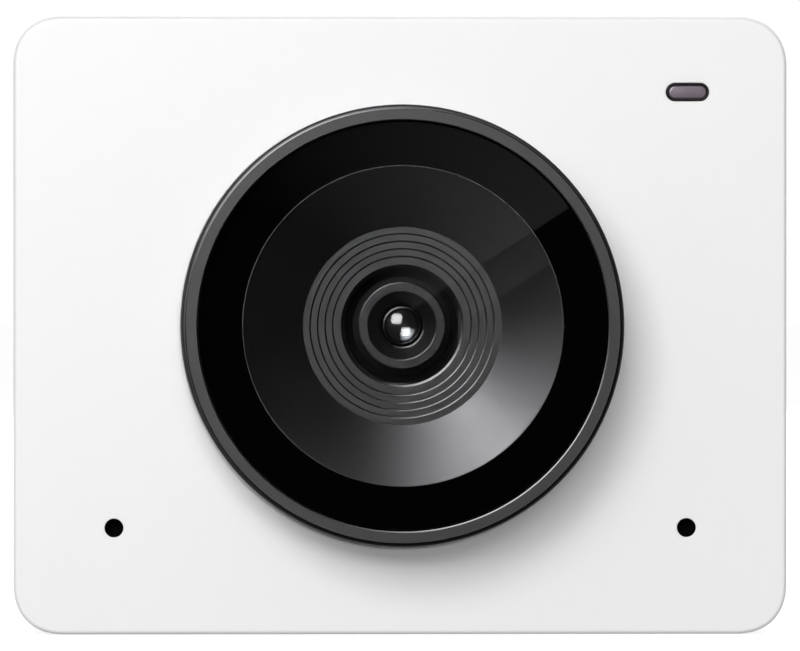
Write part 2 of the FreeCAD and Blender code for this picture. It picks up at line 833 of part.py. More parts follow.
def make_board_parts():
    """Shield over the memory chip, coils, clock crystal and capacitors."""
    side_x = sensor_board_half + side_parts_gap + shield_width / 2
    shield_y = main_y - shield_depth
    shield = block(shield_width, shield_height, shield_y, main_y, -side_x, axis_z)
    hollow = block(shield_width - 2 * shield_metal, shield_height - 2 * shield_metal,
                   shield_y + shield_metal, main_y, -side_x, axis_z)
    save("shield_can", shield.cut(hollow))
    memory = block(memory_width, memory_height, main_y - memory_depth, main_y, -side_x, axis_z)
    save("memory_chip", memory)
    inductors = [block(inductor_width, inductor_width, main_y - inductor_depth, main_y,
                       side_x, axis_z + side * inductor_pitch / 2) for side in (-1, 1)]
    save("power_inductors", Part.makeCompound(inductors))
    row_x = port_width / 2 + port_parts_gap + crystal_width / 2
    small = [block(crystal_width, crystal_width, main_back_y, main_back_y + crystal_depth,
                   -row_x, port_z)]
    for i in range(-1, 2):
        small.append(block(capacitor_width, capacitor_length, main_back_y,
                           main_back_y + capacitor_depth,
                           row_x + i * (capacitor_width + side_part_spacing), port_z))
    save("board_parts", Part.makeCompound(small))


def make_port():
    mouth_y = back_y - port_inset
    inner_width = port_width - 2 * port_shell
    inner_height = port_height - 2 * port_shell
    shell = pill(port_width, port_height, main_back_y, mouth_y, 0, port_z)
    save("usb_shell", shell.cut(pill(inner_width, inner_height, main_back_y, mouth_y, 0, port_z)))
    base = block(port_base_width, inner_height, main_back_y, main_back_y + port_floor,
                 0, port_z)
    tongue = block(tongue_width, tongue_thickness, main_back_y, mouth_y - tongue_inset,
                   0, port_z)
    save("usb_tongue", base.fuse(tongue).removeSplitter())


def make_microphones():
    boot_y = inner_y + mesh_thickness
    mics = []
    boots = []
    meshes = []
    for side in (-1, 1):
        x = side * mic_x
        mics.append(block(mic_width, mic_height, mic_y, main_y, x, mic_z))
        boot = post(boot_radius, boot_y, mic_y, x, mic_z)
        boots.append(boot.cut(post(mic_hole_radius, boot_y, mic_y, x, mic_z, shank_sides)))
        meshes.append(post(mesh_radius, inner_y, boot_y, x, mic_z))
    save("microphones", Part.makeCompound(mics))
    save("mic_boots", Part.makeCompound(boots))
    save("mic_meshes", Part.makeCompound(meshes))


def make_status_light():
    pipe = pill(light_width, light_height, face_y, led_y - light_gap, light_x, light_z)
    flange = block(light_width + 2 * light_flange, light_height + 2 * light_flange,
                   inner_y, inner_y + light_flange_thickness, light_x, light_z)
    save("light_pipe", pipe.fuse(flange).removeSplitter())
    sleeve = pill(light_width + 2 * light_rim, light_height + 2 * light_rim, face_y, inner_y,
                  light_x, light_z)
    save("light_sleeve", sleeve.cut(pill(light_width, light_height, face_y, inner_y,
                                         light_x, light_z)))
    save("status_led", block(led_width, led_width / 2, led_y, main_y, light_x, light_z))


make_front_cover()
make_rear_cover()
screw_group("rear_screws", rear_screw_radius, rear_screw_head_radius, rear_screw_head,
            rear_screw_length, rear_seat_y, four_corners(rear_boss_x, rear_boss_rise))
make_tripod_insert()
make_barrel_tube()
make_bezel_ring()
screw_group("barrel_screws", screw_radius, clamp_head_radius, screw_head,
            clamp_screw_length(), board_y, four_corners(clamp_offset, clamp_offset))
make_funnel_cone()
make_stepped_baffle()
make_lens_barrel()
make_lens_elements()
make_focus_carrier()
make_magnets()
make_focus_frame()
make_springs()
make_actuator()
make_filter_holder()
make_sensor()
make_sensor_board()
make_board_link()
make_main_board()
make_heat_path()
make_board_parts()
make_port()
make_microphones()
make_status_light()
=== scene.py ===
import json
import math

import bmesh
import bpy
from mathutils import Matrix, Vector


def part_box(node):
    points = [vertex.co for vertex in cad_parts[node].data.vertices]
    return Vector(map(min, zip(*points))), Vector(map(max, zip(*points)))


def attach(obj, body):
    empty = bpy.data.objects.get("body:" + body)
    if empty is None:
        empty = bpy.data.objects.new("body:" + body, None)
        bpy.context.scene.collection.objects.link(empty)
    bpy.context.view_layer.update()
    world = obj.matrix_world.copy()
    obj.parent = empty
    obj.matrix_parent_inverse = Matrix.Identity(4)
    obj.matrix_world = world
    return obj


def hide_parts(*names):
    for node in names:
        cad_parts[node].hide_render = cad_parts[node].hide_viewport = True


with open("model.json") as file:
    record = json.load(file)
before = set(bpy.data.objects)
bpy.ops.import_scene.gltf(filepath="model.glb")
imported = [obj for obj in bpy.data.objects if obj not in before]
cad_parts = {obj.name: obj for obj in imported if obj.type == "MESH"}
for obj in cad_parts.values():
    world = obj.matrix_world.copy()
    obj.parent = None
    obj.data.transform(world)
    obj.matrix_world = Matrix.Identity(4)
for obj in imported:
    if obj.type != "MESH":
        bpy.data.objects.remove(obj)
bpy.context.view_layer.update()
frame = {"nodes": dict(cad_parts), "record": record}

# A compact webcam: white two-part body, round black lens housing, focusing lens.
# X points to the right seen from the front, the lens looks along -Y, Z points up. Metres.

bl_info = {
    "name": "Webcam",
    "version": (1, 0, 0),
    "blender": (4, 5, 0),
    "location": "3D View > Sidebar > Webcam",
    "description": "Builds the outside of a compact webcam round its working parts",
    "category": "Object",
}

MM = 0.001
MERGE = 0.0004 * MM
PAST = MM                       # reach of a cutter past what it cuts
SMOOTH_TO = math.radians(13)    # a sharper turn of the surface keeps its edge
RIM_FROM = math.radians(50)     # a rim that gets rounded turns at least this much
FLAT_TO = math.radians(0.2)     # faces that turn less are joined after a cut

# Fastenings inside, the same as in the solids
CLAMP_HEAD = 2 * MM             # head radius of the screws that clamp the lens housing
CLAMP_HEAD_DEPTH = 0.6 * MM
BOARD_HEAD = 1 * MM             # head radius of the main board's screws
PILOT = 0.5 * MM                # radius of the blind holes for both
BOARD_PILOT_DEPTH = 3.3 * MM
COVER_PILOT = 0.8 * MM          # radius of the blind holes for the rear screws
PILOT_SPARE = 0.3 * MM          # empty end of those holes
SLEEVE_REACH = 1.45 * MM        # from the seam to where the shells' screw sleeves meet
LIP_PLAY = 0.06 * MM            # between the rear shell's lip and the front shell

# Room left between pieces
NOTCH_HALF = 5 * MM             # half height of the cutter that makes room for the bush
NOTCH_PLAY = 0.05 * MM
WINDOW_GAP = 0.02 * MM          # air between the window and the cone
LENS_PLAY = 0.02 * MM           # between the outer lens's dome and the lock ring

# Places and sizes read from the frame
shell_low, shell_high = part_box("front_cover")
rear_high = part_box("rear_cover")[1]
tube_low, tube_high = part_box("barrel_tube")
ring_low, ring_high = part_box("bezel_ring")
glass_low, glass_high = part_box("cover_glass")
funnel_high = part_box("funnel_cone")[1]
baffle_low, baffle_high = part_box("stepped_baffle")
lens_low, lens_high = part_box("lens_barrel")
lock_low, lock_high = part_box("lens_retainer")
outer_lens_low, outer_lens_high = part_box("front_element")
clamp_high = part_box("barrel_screws")[1]
board_screw_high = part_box("main_board_screws")[1]
cover_screw_low, cover_screw_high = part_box("rear_screws")
sleeve_low, sleeve_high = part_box("light_sleeve")
pipe_low, pipe_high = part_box("light_pipe")
mesh_low, mesh_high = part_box("mic_meshes")
bush_low, bush_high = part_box("tripod_insert")
port_low, port_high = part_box("usb_shell")
tongue_low, tongue_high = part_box("usb_tongue")
sink_low, sink_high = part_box("heat_sink")
main_board_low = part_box("main_board")[0]

half_width = shell_high.x
half_height = (shell_high.z - shell_low.z) / 2
axis_z = (shell_high.z + shell_low.z) / 2
face_y = shell_low.y
seam_y = shell_high.y
back_y = rear_high.y
slot_of = {part["node"]: part["material_slot"] for part in frame["record"]["subparts"]}


def length(name, description, default):
    return bpy.props.FloatProperty(name=name, description=description, default=default * MM,
                                   min=0.0, precision=5, subtype="DISTANCE", unit="LENGTH")


def count(name, description, default):
    return bpy.props.IntProperty(name=name, description=description, default=default, min=1)


def amount(name, description, default):
    return bpy.props.FloatProperty(name=name, description=description, default=default, min=0.0)


def turn(name, description, default):
    return bpy.props.FloatProperty(name=name, description=description,
                                   default=math.radians(default), subtype="ANGLE")


def colour(name, description, red, green, blue):
    return bpy.props.FloatVectorProperty(name=name, description=description, size=4,
                                         default=(red, green, blue, 1.0), min=0.0, max=1.0,
                                         subtype="COLOR")


class WEBCAM_PG_body(bpy.types.PropertyGroup):
    """Sizes of the two body shells, in their real millimetres"""
    corner: length("Corner", "Rounding of the four upright corners", 3.0)
    corner_squareness: amount("Corner squareness", "0.5 is a circle, more is squarer", 0.545)
    front_edge: length("Front edge", "Rounding round the front face", 0.24)
    rear_edge: length("Rear edge", "Rounding round the rear face", 0.8)
    seam_edge: length("Seam edge", "Chamfer on each side of the parting line", 0.07)
    hole_edge: length("Hole edge", "Rounding at the rim of each hole", 0.06)
    # painted shade: below this depth the walls of the microphone holes are black
    hole_shade_depth: length("Hole shade depth", "Depth at which the black paint for a hole's shade starts", 0.1)
    wall: length("Wall", "Thickness of the shell", 1.3)
    boss: length("Boss", "Radius of the inner screw bosses", 1.3)
    barrel_gap: length("Barrel gap", "Gap round the lens housing", 0.05)
    microphone_hole: length("Microphone hole", "Radius of the two holes", 0.55)
    vent_width: length("Vent width", "Width of a rear slot", 1.1)
    vent_height: length("Vent height", "Height of a rear slot", 11.0)
    vent_pitch: length("Vent pitch", "From one slot to the next", 2.4)
    vent_count: count("Vents", "Number of rear slots", 8)
    vent_edge: length("Vent edge", "Rounding at the rim of a slot", 0.16)
    port_gap: length("Port gap", "Gap round the socket", 0.15)
    screw_gap: length("Screw gap", "Gap round a rear screw's head", 0.12)
    sleeve: length("Screw sleeve", "Radius of the sleeves round the rear screws", 1.75)
    lip: length("Lip", "Reach of the locating lip of the rear shell", 1.2)
    lip_wall: length("Lip wall", "Thickness of that lip", 0.8)


class WEBCAM_PG_barrel(bpy.types.PropertyGroup):
    """Sizes of the lens housing and what shows in its front"""
    radius: length("Housing radius", "Outside of the round housing", 12.9)
    bore: length("Housing bore", "Inside of the housing behind the cone", 10.2)
    shoulder: length("Shoulder", "Rounded shoulder outside the metal ring", 0.19)
    ring_bore: length("Ring bore", "Inside of the metal ring", 11.96)
    ring_edge: length("Ring edge", "Width of the metal ring's two slight chamfers", 0.07)
    ring_edge_depth: length("Ring edge depth", "Depth of those chamfers", 0.02)
    print_bore: length("Print bore", "Inside of the black print on the window", 9.36)
    glass_edge: length("Glass edge", "Ground edge of the window", 0.05)
    mouth: length("Cone mouth", "Radius of the cone behind the window", 9.32)
    throat: length("Cone throat", "Radius of the cone's inner end", 5.82)
    throat_land: length("Throat land", "Upright edge below the cone", 0.15)
    step_pitch: length("Step pitch", "Width of a step on the grey disc", 0.439)
    step_drop: length("Step drop", "Height of a step", 0.11)
    step_slant: length("Step slant", "Width of a riser with its chamfer", 0.09)
    step_edge: length("Step edge", "Width of the slight chamfer at the top of a riser", 0.055)
    step_edge_depth: length("Step edge depth", "Depth of that chamfer", 0.017)
    steps: count("Steps", "Steps round the lens opening", 4)
    opening: length("Lens opening", "Bore of the grey disc", 3.47)
    opening_edge: length("Opening edge", "Width of the chamfer round the lens opening", 0.12)
    opening_edge_depth: length("Opening edge depth", "Depth of that chamfer", 0.036)


class WEBCAM_PG_lens(bpy.types.PropertyGroup):
    """Sizes of the moving lens"""
    nose: length("Nose", "Radius of the flat front ring", 2.55)
    nose_base: length("Nose base", "Radius where the nose meets the body", 2.87)
    nose_length: length("Nose length", "Front ring to the body", 1.1)
    nose_edge: length("Nose edge", "Width of the front ring's two slight chamfers", 0.065)
    nose_edge_depth: length("Nose edge depth", "Depth of those chamfers", 0.02)
    mouth: length("Mouth", "Inner radius of the front ring", 1.97)
    mouth_depth: length("Mouth depth", "Depth of the inner cone", 0.4)
    bore: length("Bore", "Bore that holds the glasses", 1.35)
    lock_bore: length("Lock ring bore", "Inner radius of the ring that holds the lens", 1.04)
    lock_groove: length("Lock ring groove", "Width of the groove between its two beads", 0.07)
    lock_groove_depth: length("Lock ring groove depth", "Depth of that groove", 0.2)
    lock_bead: length("Lock ring bead", "Width of each bead's slight slope", 0.075)
    lock_bead_depth: length("Bead depth", "Fall of that slope", 0.022)
    dome: length("Dome", "Rise of the outer lens at its front", 0.24)
    back_dome: length("Back dome", "Rise of the outer lens at its back", 0.56)


class WEBCAM_PG_hardware(bpy.types.PropertyGroup):
    """Sizes of screws, tripod bush, socket and status light"""
    screw_head: length("Screw head", "Radius of a rear screw's head", 1.4)
    screw_head_depth: length("Head depth", "Thickness of that head", 0.9)
    screw_shank: length("Screw shank", "Radius of a rear screw's shank", 0.78)
    screw_edge: length("Head edge", "Rounding of the head", 0.16)
    driver_width: length("Driver socket", "Half width of the six-sided recess", 0.62)
    driver_depth: length("Driver depth", "Depth of that recess", 0.5)
    bush_wall: length("Bush wall", "Plastic round the bush", 0.6)
    bush_cap: length("Bush cap", "Plastic over the bush", 0.4)
    thread_minor: length("Thread minor", "Smallest radius of the bush's thread", 2.6)
    thread_depth: length("Thread depth", "Depth of the thread's groove", 0.5)
    thread_pitch: length("Thread pitch", "Rise of one turn", 1.27)
    port_wall: length("Port wall", "Sheet of the socket's shell", 0.3)
    tongue: length("Tongue", "Thickness of the socket's tongue", 0.7)
    tongue_floor: length("Tongue floor", "Thickness of the tongue's base", 0.8)
    contact_pitch: length("Contact pitch", "From one contact to the next", 0.5)
    contact_width: length("Contact width", "Width of one contact", 0.26)
    contact_count: count("Contacts", "Contacts on each side of the tongue", 12)
    light_rim: length("Light rim", "Black rim round the status light", 0.155)
    light_edge: length("Light edge", "Rounding of the status window", 0.13)
    light_flange: length("Light flange", "Inner flange of the status window", 0.6)


class WEBCAM_PG_colours(bpy.types.PropertyGroup):
    """Colours of the surfaces that show"""
    shell: colour("Shell", "White moulded body", 0.88, 0.88, 0.882)
    housing: colour("Housing", "Black moulded lens housing", 0.006, 0.006, 0.0065)
    ring: colour("Ring", "Blasted dark metal", 0.048, 0.048, 0.049)
    cone: colour("Cone", "Black blasted cone", 0.071, 0.071, 0.074)
    disc: colour("Disc", "Grey stepped disc", 0.041, 0.041, 0.042)
    lens_body: colour("Lens body", "Black lens barrel", 0.03, 0.03, 0.031)
    lens_face: colour("Lens face", "Flat ring on the lens", 0.031, 0.031, 0.032)
    # painted shade: near black for the lens's bore and shoulder, the disc's bore and the lock
    # ring's groove
    recess: colour("Lens recess", "Shoulder of the lens", 0.002, 0.002, 0.002)
    # painted shade: darker black for the lens's inner cone
    mouth: colour("Lens mouth", "Inner cone of the lens", 0.004, 0.004, 0.004)
    cut_edge: colour("Cut edge", "Bright cut chamfers of the dark metal", 0.055, 0.055, 0.056)
    lock_ring: colour("Lock ring", "Ring that holds the outer lens", 0.038, 0.038, 0.039)
    light: colour("Status light", "Smoky window, unlit", 0.15, 0.122, 0.145)
    rim: colour("Status rim", "Rim of the status window", 0.004, 0.0035, 0.004)
    brass: colour("Brass", "Threaded bush", 0.78, 0.57, 0.26)
    nickel: colour("Nickel", "Plated sheet metal", 0.62, 0.6, 0.57)
    gold: colour("Gold", "Contacts", 0.85, 0.6, 0.25)
    tongue: colour("Tongue", "Plastic of the socket", 0.012, 0.012, 0.013)
    floor: colour("Floor", "Pale studio floor", 0.9, 0.9, 0.9)


class WEBCAM_PG_stage(bpy.types.PropertyGroup):
    """Camera and light of the studio"""
    distance: length("Camera distance", "From the front face", 450.0)
    azimuth: turn("Camera turn", "Camera to the left of the lens axis", 1.5)
    elevation: turn("Camera lift", "Camera above the lens axis", 0.25)
    aim: length("Aim", "The camera's aim to the left of the lens axis", 0.03)
    focal: bpy.props.FloatProperty(name="Focal length", description="On a 36 mm sensor",
                                   default=343.5, subtype="DISTANCE_CAMERA")
    key: amount("Key light", "Share of the upper left softbox in the front's light", 0.45)
    glow: amount("Key glow", "The same softbox as glossy surfaces see it", 1.1)
    top: amount("Top light", "Share of the softbox above the camera", 0.14)
    fill: amount("Fill light", "Share of the softbox beside the camera", 0.25)
    back: amount("Back light", "Light of the softbox behind the webcam", 0.3)
    sky: amount("Sky", "Radiance of the upper left side", 0.33)
    sheen: amount("Window sheen", "Radiance of the card that the window mirrors", 0.27)


# Shapes

def rotate(bm, matrix, centre=(0, 0, 0)):
    bmesh.ops.rotate(bm, verts=bm.verts, cent=centre, matrix=matrix)


def stand_up(bm, x, z):
    """Turns a shape that is drawn flat so that it faces the front, and moves it to its place."""
    rotate(bm, Matrix.Rotation(math.pi / 2, 3, "X"))
    bmesh.ops.translate(bm, verts=bm.verts, vec=(x, 0, z))


def draw_out(bm, way):
    """Makes a flat shape a solid that reaches as far as the way."""
    made = bmesh.ops.extrude_face_region(bm, geom=bm.faces[:])["geom"]
    moved = [item for item in made if isinstance(item, bmesh.types.BMVert)]
    bmesh.ops.translate(bm, verts=moved, vec=way)
    bmesh.ops.recalc_face_normals(bm, faces=bm.faces)


def push(bm, y0, y1):
    """Gives an upright flat shape its depth from y0 to y1."""
    bmesh.ops.translate(bm, verts=bm.verts, vec=(0, y0, 0))
    draw_out(bm, (0, y1 - y0, 0))


def round_edges(bm, edges, size, segments=3):
    bmesh.ops.bevel(bm, geom=edges, offset=size, offset_type="OFFSET", segments=segments,
                    profile=0.5, affect="EDGES", clamp_overlap=True, material=-1)


def round_corners(bm, corners, size, segments, profile=0.5):
    bmesh.ops.bevel(bm, geom=corners, offset=size, offset_type="OFFSET", segments=segments,
                    profile=profile, affect="VERTICES", clamp_overlap=True, material=-1)


def sharp_edges(bm, y):
    """Edges in the plane y where the surface turns sharply."""
    found = []
    for edge in bm.edges:
        flat = all(abs(v.co.y - y) < MERGE for v in edge.verts)
        if flat and len(edge.link_faces) == 2 and edge.calc_face_angle() > RIM_FROM:
            found.append(edge)
    return found


def disc(radius, y0, y1, x=0.0, z=axis_z, segments=48):
    bm = bmesh.new()
    bmesh.ops.create_circle(bm, cap_ends=True, radius=radius, segments=segments)
    stand_up(bm, x, z)
    push(bm, y0, y1)
    return bm


def posts(radius, y0, y1, places):
    """Round bars at the given places, for bosses and the holes of screws."""
    return [disc(radius, y0, y1, x, z, 32) for x, z in places]


def rectangle(half_x, half_z):
    bm = bmesh.new()
    bmesh.ops.create_grid(bm, x_segments=1, y_segments=1, size=1.0)
    bmesh.ops.scale(bm, verts=bm.verts, vec=(half_x, half_z, 1.0))
    return bm


def block(half_x, half_z, y0, y1, x=0.0, z=axis_z):
    bm = rectangle(half_x, half_z)
    stand_up(bm, x, z)
    push(bm, y0, y1)
    return bm


def six_sided(half, z0, z1):
    """A six-sided block on the bush's axis, half as deep as given, with corners to the sides."""
    bm = bmesh.new()
    bmesh.ops.create_circle(bm, cap_ends=True, radius=half / math.cos(math.pi / 6), segments=6)
    rotate(bm, Matrix.Rotation(math.pi / 2, 3, "Z"))
    bmesh.ops.translate(bm, verts=bm.verts, vec=(0, (bush_low.y + bush_high.y) / 2, z0))
    draw_out(bm, (0, 0, z1 - z0))
    return bm


def rounded_plate(half_x, half_z, corner, y0, y1, profile=0.5):
    bm = rectangle(half_x, half_z)
    round_corners(bm, bm.verts[:], corner, 18, profile)
    stand_up(bm, 0, axis_z)
    push(bm, y0, y1)
    return bm


def pill(width, height, y0, y1, x, z, segments=48):
    """A flat bar with half-round ends, lying or standing."""
    bm = bmesh.new()
    bmesh.ops.create_circle(bm, cap_ends=True, radius=min(width, height) / 2, segments=segments)
    reach = Vector(((width - height) / 2, 0, 0)) if width > height \
        else Vector((0, (height - width) / 2, 0))
    way = reach.normalized()
    for side in (-1, 1):
        end = [v for v in bm.verts if v.co.dot(way) * side > MERGE]
        bmesh.ops.translate(bm, verts=end, vec=reach * side)
    stand_up(bm, x, z)
    push(bm, y0, y1)
    return bm


def gather(parts):
    """Several separate solids as one."""
    mesh = bpy.data.meshes.new("gathered")
    whole = bmesh.new()
    for part in parts:
        part.to_mesh(mesh)
        part.free()
        whole.from_mesh(mesh)
    bpy.data.meshes.remove(mesh)
    return whole


def into_scene(name, data):
    obj = bpy.data.objects.new(name, data)
    bpy.context.scene.collection.objects.link(obj)
    return obj


def new_object(name, bm, materials=()):
    """Puts a shape in the scene as an object, and frees the shape."""
    mesh = bpy.data.meshes.new(name)
    bm.to_mesh(mesh)
    bm.free()
    for material in materials:
        mesh.materials.append(material)
    return into_scene(name, mesh)


def combine(bm, other, operation):
    """The first solid joined with the other or cut by it."""
    pair = []
    for source in (bm, other):
        bmesh.ops.recalc_face_normals(source, faces=source.faces)
        pair.append(new_object("half", source))
    modifier = pair[0].modifiers.new("Combine", "BOOLEAN")
    modifier.object = pair[1]
    modifier.operation = operation
    modifier.solver = "EXACT"
    result = bmesh.new()
    result.from_object(pair[0], bpy.context.evaluated_depsgraph_get())
    for obj in pair:
        mesh = obj.data
        bpy.data.objects.remove(obj)
        bpy.data.meshes.remove(mesh)
    in_order(result)
    bmesh.ops.remove_doubles(result, verts=result.verts, dist=MERGE)
    in_order(result)
    bmesh.ops.dissolve_limit(result, angle_limit=FLAT_TO, verts=result.verts, edges=result.edges)
    in_order(result)
    return result


def in_order(bm):
    """Sorts a shape's corners, edges and faces by place, for the same order in each run."""
    for items, place in ((bm.verts, lambda corner: corner.co[:]),
                         (bm.edges, lambda edge: sorted(v.index for v in edge.verts)),
                         (bm.faces, lambda face: sorted(v.index for v in face.verts))):
        rank = {item: i for i, item in enumerate(sorted(items, key=place))}
        items.sort(key=rank.get)
        items.index_update()


def spun(outline, segments=192, x=0.0, z=axis_z, rounds=3):
    """A solid turned about a line along Y from corners (radius, y, rounding)."""
    bm = bmesh.new()
    corners = [bm.verts.new((x + radius, y, z)) for radius, y, _ in outline]
    bm.faces.new(corners)
    for corner, (_, _, rounding) in zip(corners, outline):
        if rounding:
            round_corners(bm, [corner], rounding, rounds)
    bmesh.ops.delete(bm, geom=bm.faces[:], context="FACES_ONLY")
    on_axis = [e for e in bm.edges if all(abs(v.co.x - x) < MERGE for v in e.verts)]
    bmesh.ops.delete(bm, geom=on_axis, context="EDGES")
    bmesh.ops.spin(bm, geom=bm.verts[:] + bm.edges[:], cent=(x, 0, z), axis=(0, 1, 0),
                   dvec=(0, 0, 0), angle=math.tau, steps=segments, use_merge=True)
    bmesh.ops.remove_doubles(bm, verts=bm.verts, dist=MERGE)
    bmesh.ops.recalc_face_normals(bm, faces=bm.faces)
    return bm


def arc(radius_end, y_start, y_end, steps):
    """Outline points of a dome from its pole at y_start to its rim at y_end."""
    rise = y_end - y_start
    sphere = (radius_end ** 2 + rise ** 2) / (2 * rise)
    opening = math.asin(radius_end / sphere)
    return [(sphere * math.sin(opening * i / steps),
             y_start + sphere * (1 - math.cos(opening * i / steps)), 0)
            for i in range(steps + 1)]


def four_places(offset_x, offset_z):
    return [(sx * offset_x, axis_z + sz * offset_z) for sx in (-1, 1) for sz in (-1, 1)]


def cover_screw_places(hardware):
    return four_places(cover_screw_high.x - hardware.screw_head,
                       cover_screw_high.z - hardware.screw_head - axis_z)


def off_axis(point):
    """Distance of a point from the lens axis."""
    return math.hypot(point.x, point.z - axis_z)


def finish_piece(name, bm, materials, stands_for, body="housing"):
    """Makes the object, lets it ride on its body and takes the place of its frame nodes."""
    bmesh.ops.remove_doubles(bm, verts=bm.verts, dist=MERGE)
    bmesh.ops.recalc_face_normals(bm, faces=bm.faces)
    in_order(bm)
    obj = new_object(name, bm, materials)
    obj.data.shade_smooth()
    obj.data.set_sharp_from_angle(angle=SMOOTH_TO)
    shading = obj.modifiers.new("Even shading", "WEIGHTED_NORMAL")
    shading.keep_sharp = True
    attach(obj, body)
    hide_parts(*stands_for)
    return obj


# Surface effects that several materials share

def new_group(name, inputs, outputs):
    """A node group with its sockets: inputs as (name, kind, value), outputs as (name, kind)."""
    group = bpy.data.node_groups.new(name, "ShaderNodeTree")
    for socket_name, kind, value in inputs:
        socket = group.interface.new_socket(name=socket_name, in_out="INPUT", socket_type=kind)
        socket.default_value = value
    for socket_name, kind in outputs:
        group.interface.new_socket(name=socket_name, in_out="OUTPUT", socket_type=kind)
    return group, group.nodes.new("NodeGroupInput"), group.nodes.new("NodeGroupOutput")


def fill(tree, node, values):
    """Gives a node's inputs, named or numbered, their values or links."""
    for key, value in values.items():
        socket = node.inputs[int(key[1:])] if key[0] == "_" else node.inputs[key.replace("_", " ")]
        if isinstance(value, bpy.types.NodeSocket):
            tree.links.new(value, socket)
        else:
            socket.default_value = value
    return node


def add(tree, kind, settings=None, **values):
    """A node with its settings and the values or links of its inputs."""
    node = tree.nodes.new("ShaderNode" + kind)
    for key, value in (settings or {}).items():
        setattr(node, key, value)
    return fill(tree, node, values)


def math_node(tree, operation, first, second=0.0, third=0.0):
    return add(tree, "Math", {"operation": operation}, _0=first, _1=second, _2=third).outputs[0]


def scaled_place(tree, size):
    """The surface's own place, counted in pattern sizes."""
    place = add(tree, "TexCoord").outputs["Object"]
    rate = math_node(tree, "DIVIDE", 1.0, size)
    return add(tree, "VectorMath", {"operation": "SCALE"}, _0=place, Scale=rate).outputs[0]


def make_grain_group():
    """Fine random relief of moulded, blasted or cast surfaces."""
    group, inner, outer = new_group(
        "Grain",
        [("Size", "NodeSocketFloat", 0.1 * MM), ("Depth", "NodeSocketFloat", 0.001 * MM)],
        [("Height", "NodeSocketFloat"), ("Shade", "NodeSocketFloat")])
    place = scaled_place(group, inner.outputs["Size"])
    noise = add(group, "TexNoise", Vector=place, Scale=1.0, Detail=2.0, Roughness=0.6)
    height = math_node(group, "MULTIPLY", noise.outputs["Fac"], inner.outputs["Depth"])
    group.links.new(height, outer.inputs["Height"])
    group.links.new(noise.outputs["Fac"], outer.inputs["Shade"])
    return group


def make_drift_group():
    """Slow change of colour and gloss over a surface."""
    group, inner, outer = new_group(
        "Drift",
        [("Colour", "NodeSocketColor", (0.5, 0.5, 0.5, 1.0)),
         ("Roughness", "NodeSocketFloat", 0.5), ("Size", "NodeSocketFloat", 8 * MM),
         ("Colour change", "NodeSocketFloat", 0.03), ("Gloss change", "NodeSocketFloat", 0.05)],
        [("Colour", "NodeSocketColor"), ("Roughness", "NodeSocketFloat")])
    place = scaled_place(group, inner.outputs["Size"])
    noise = add(group, "TexNoise", Vector=place, Scale=1.0, Detail=3.0, Roughness=0.55)
    swing = math_node(group, "SUBTRACT", noise.outputs["Fac"], 0.5)
    tone = math_node(group, "MULTIPLY", swing, inner.outputs["Colour change"])
    tone = math_node(group, "MULTIPLY_ADD", tone, 2.0, 1.0)
    shade = add(group, "VectorMath", {"operation": "SCALE"}, _0=inner.outputs["Colour"],
                Scale=tone)
    gloss = math_node(group, "MULTIPLY", swing, inner.outputs["Gloss change"])
    gloss = math_node(group, "MULTIPLY_ADD", gloss, 2.0, inner.outputs["Roughness"])
    group.links.new(shade.outputs[0], outer.inputs["Colour"])
    group.links.new(gloss, outer.inputs["Roughness"])
    return group


def make_turning_group():
    """Fine rings that a lathe tool leaves round the lens axis."""
    group, inner, outer = new_group(
        "Turning",
        [("Pitch", "NodeSocketFloat", 0.1 * MM), ("Depth", "NodeSocketFloat", 0.001 * MM)],
        [("Height", "NodeSocketFloat"), ("Shade", "NodeSocketFloat")])
    place = add(group, "TexCoord").outputs["Object"]
    centred = add(group, "Mapping", Vector=place, Location=(0, 0, -axis_z))
    flat = add(group, "VectorMath", {"operation": "MULTIPLY"}, _0=centred.outputs[0],
               _1=(1.0, 0.0, 1.0))
    radius = add(group, "VectorMath", {"operation": "LENGTH"}, _0=flat.outputs[0])
    turns = math_node(group, "DIVIDE", radius.outputs["Value"], inner.outputs["Pitch"])
    noise = add(group, "TexNoise", {"noise_dimensions": "1D"}, W=turns, Scale=1.0, Detail=2.0,
                Roughness=0.7)
    height = math_node(group, "MULTIPLY", noise.outputs["Fac"], inner.outputs["Depth"])
    group.links.new(height, outer.inputs["Height"])
    group.links.new(noise.outputs["Fac"], outer.inputs["Shade"])
    return group


# Materials

groups = {}


def prepare_groups():
    groups["grain"] = make_grain_group()
    groups["drift"] = make_drift_group()
    groups["turning"] = make_turning_group()


def use_group(tree, name, **values):
    node = tree.nodes.new("ShaderNodeGroup")
    node.node_tree = groups[name]
    return fill(tree, node, values)


def bare_material(name):
    material = bpy.data.materials.new(name)
    material.use_nodes = True
    material.node_tree.nodes.clear()
    return material, material.node_tree


def new_material(name, tint):
    """A material with its surface shader, whose viewport colour is its tint."""
    material, tree = bare_material(name)
    material.diffuse_color = tuple(tint)
    output = tree.nodes.new("ShaderNodeOutputMaterial")
    surface = tree.nodes.new("ShaderNodeBsdfPrincipled")
    tree.links.new(surface.outputs["BSDF"], output.inputs["Surface"])
    return material, tree, surface


def bump(tree, surface, height):
    node = add(tree, "Bump", Height=height, Distance=1.0, Strength=1.0)
    tree.links.new(node.outputs["Normal"], surface.inputs["Normal"])


def node_of(tree, kind):
    return next(node for node in tree.nodes if node.type == kind)


def drift_over(tree, surface, tint, roughness, size, change, gloss):
    """Lets colour and roughness change slowly over the surface. The size is in millimetres."""
    drift = use_group(tree, "drift", Colour=tuple(tint), Roughness=roughness, Size=size * MM,
                      Colour_change=change, Gloss_change=gloss)
    tree.links.new(drift.outputs["Colour"], surface.inputs["Base Color"])
    tree.links.new(drift.outputs["Roughness"], surface.inputs["Roughness"])


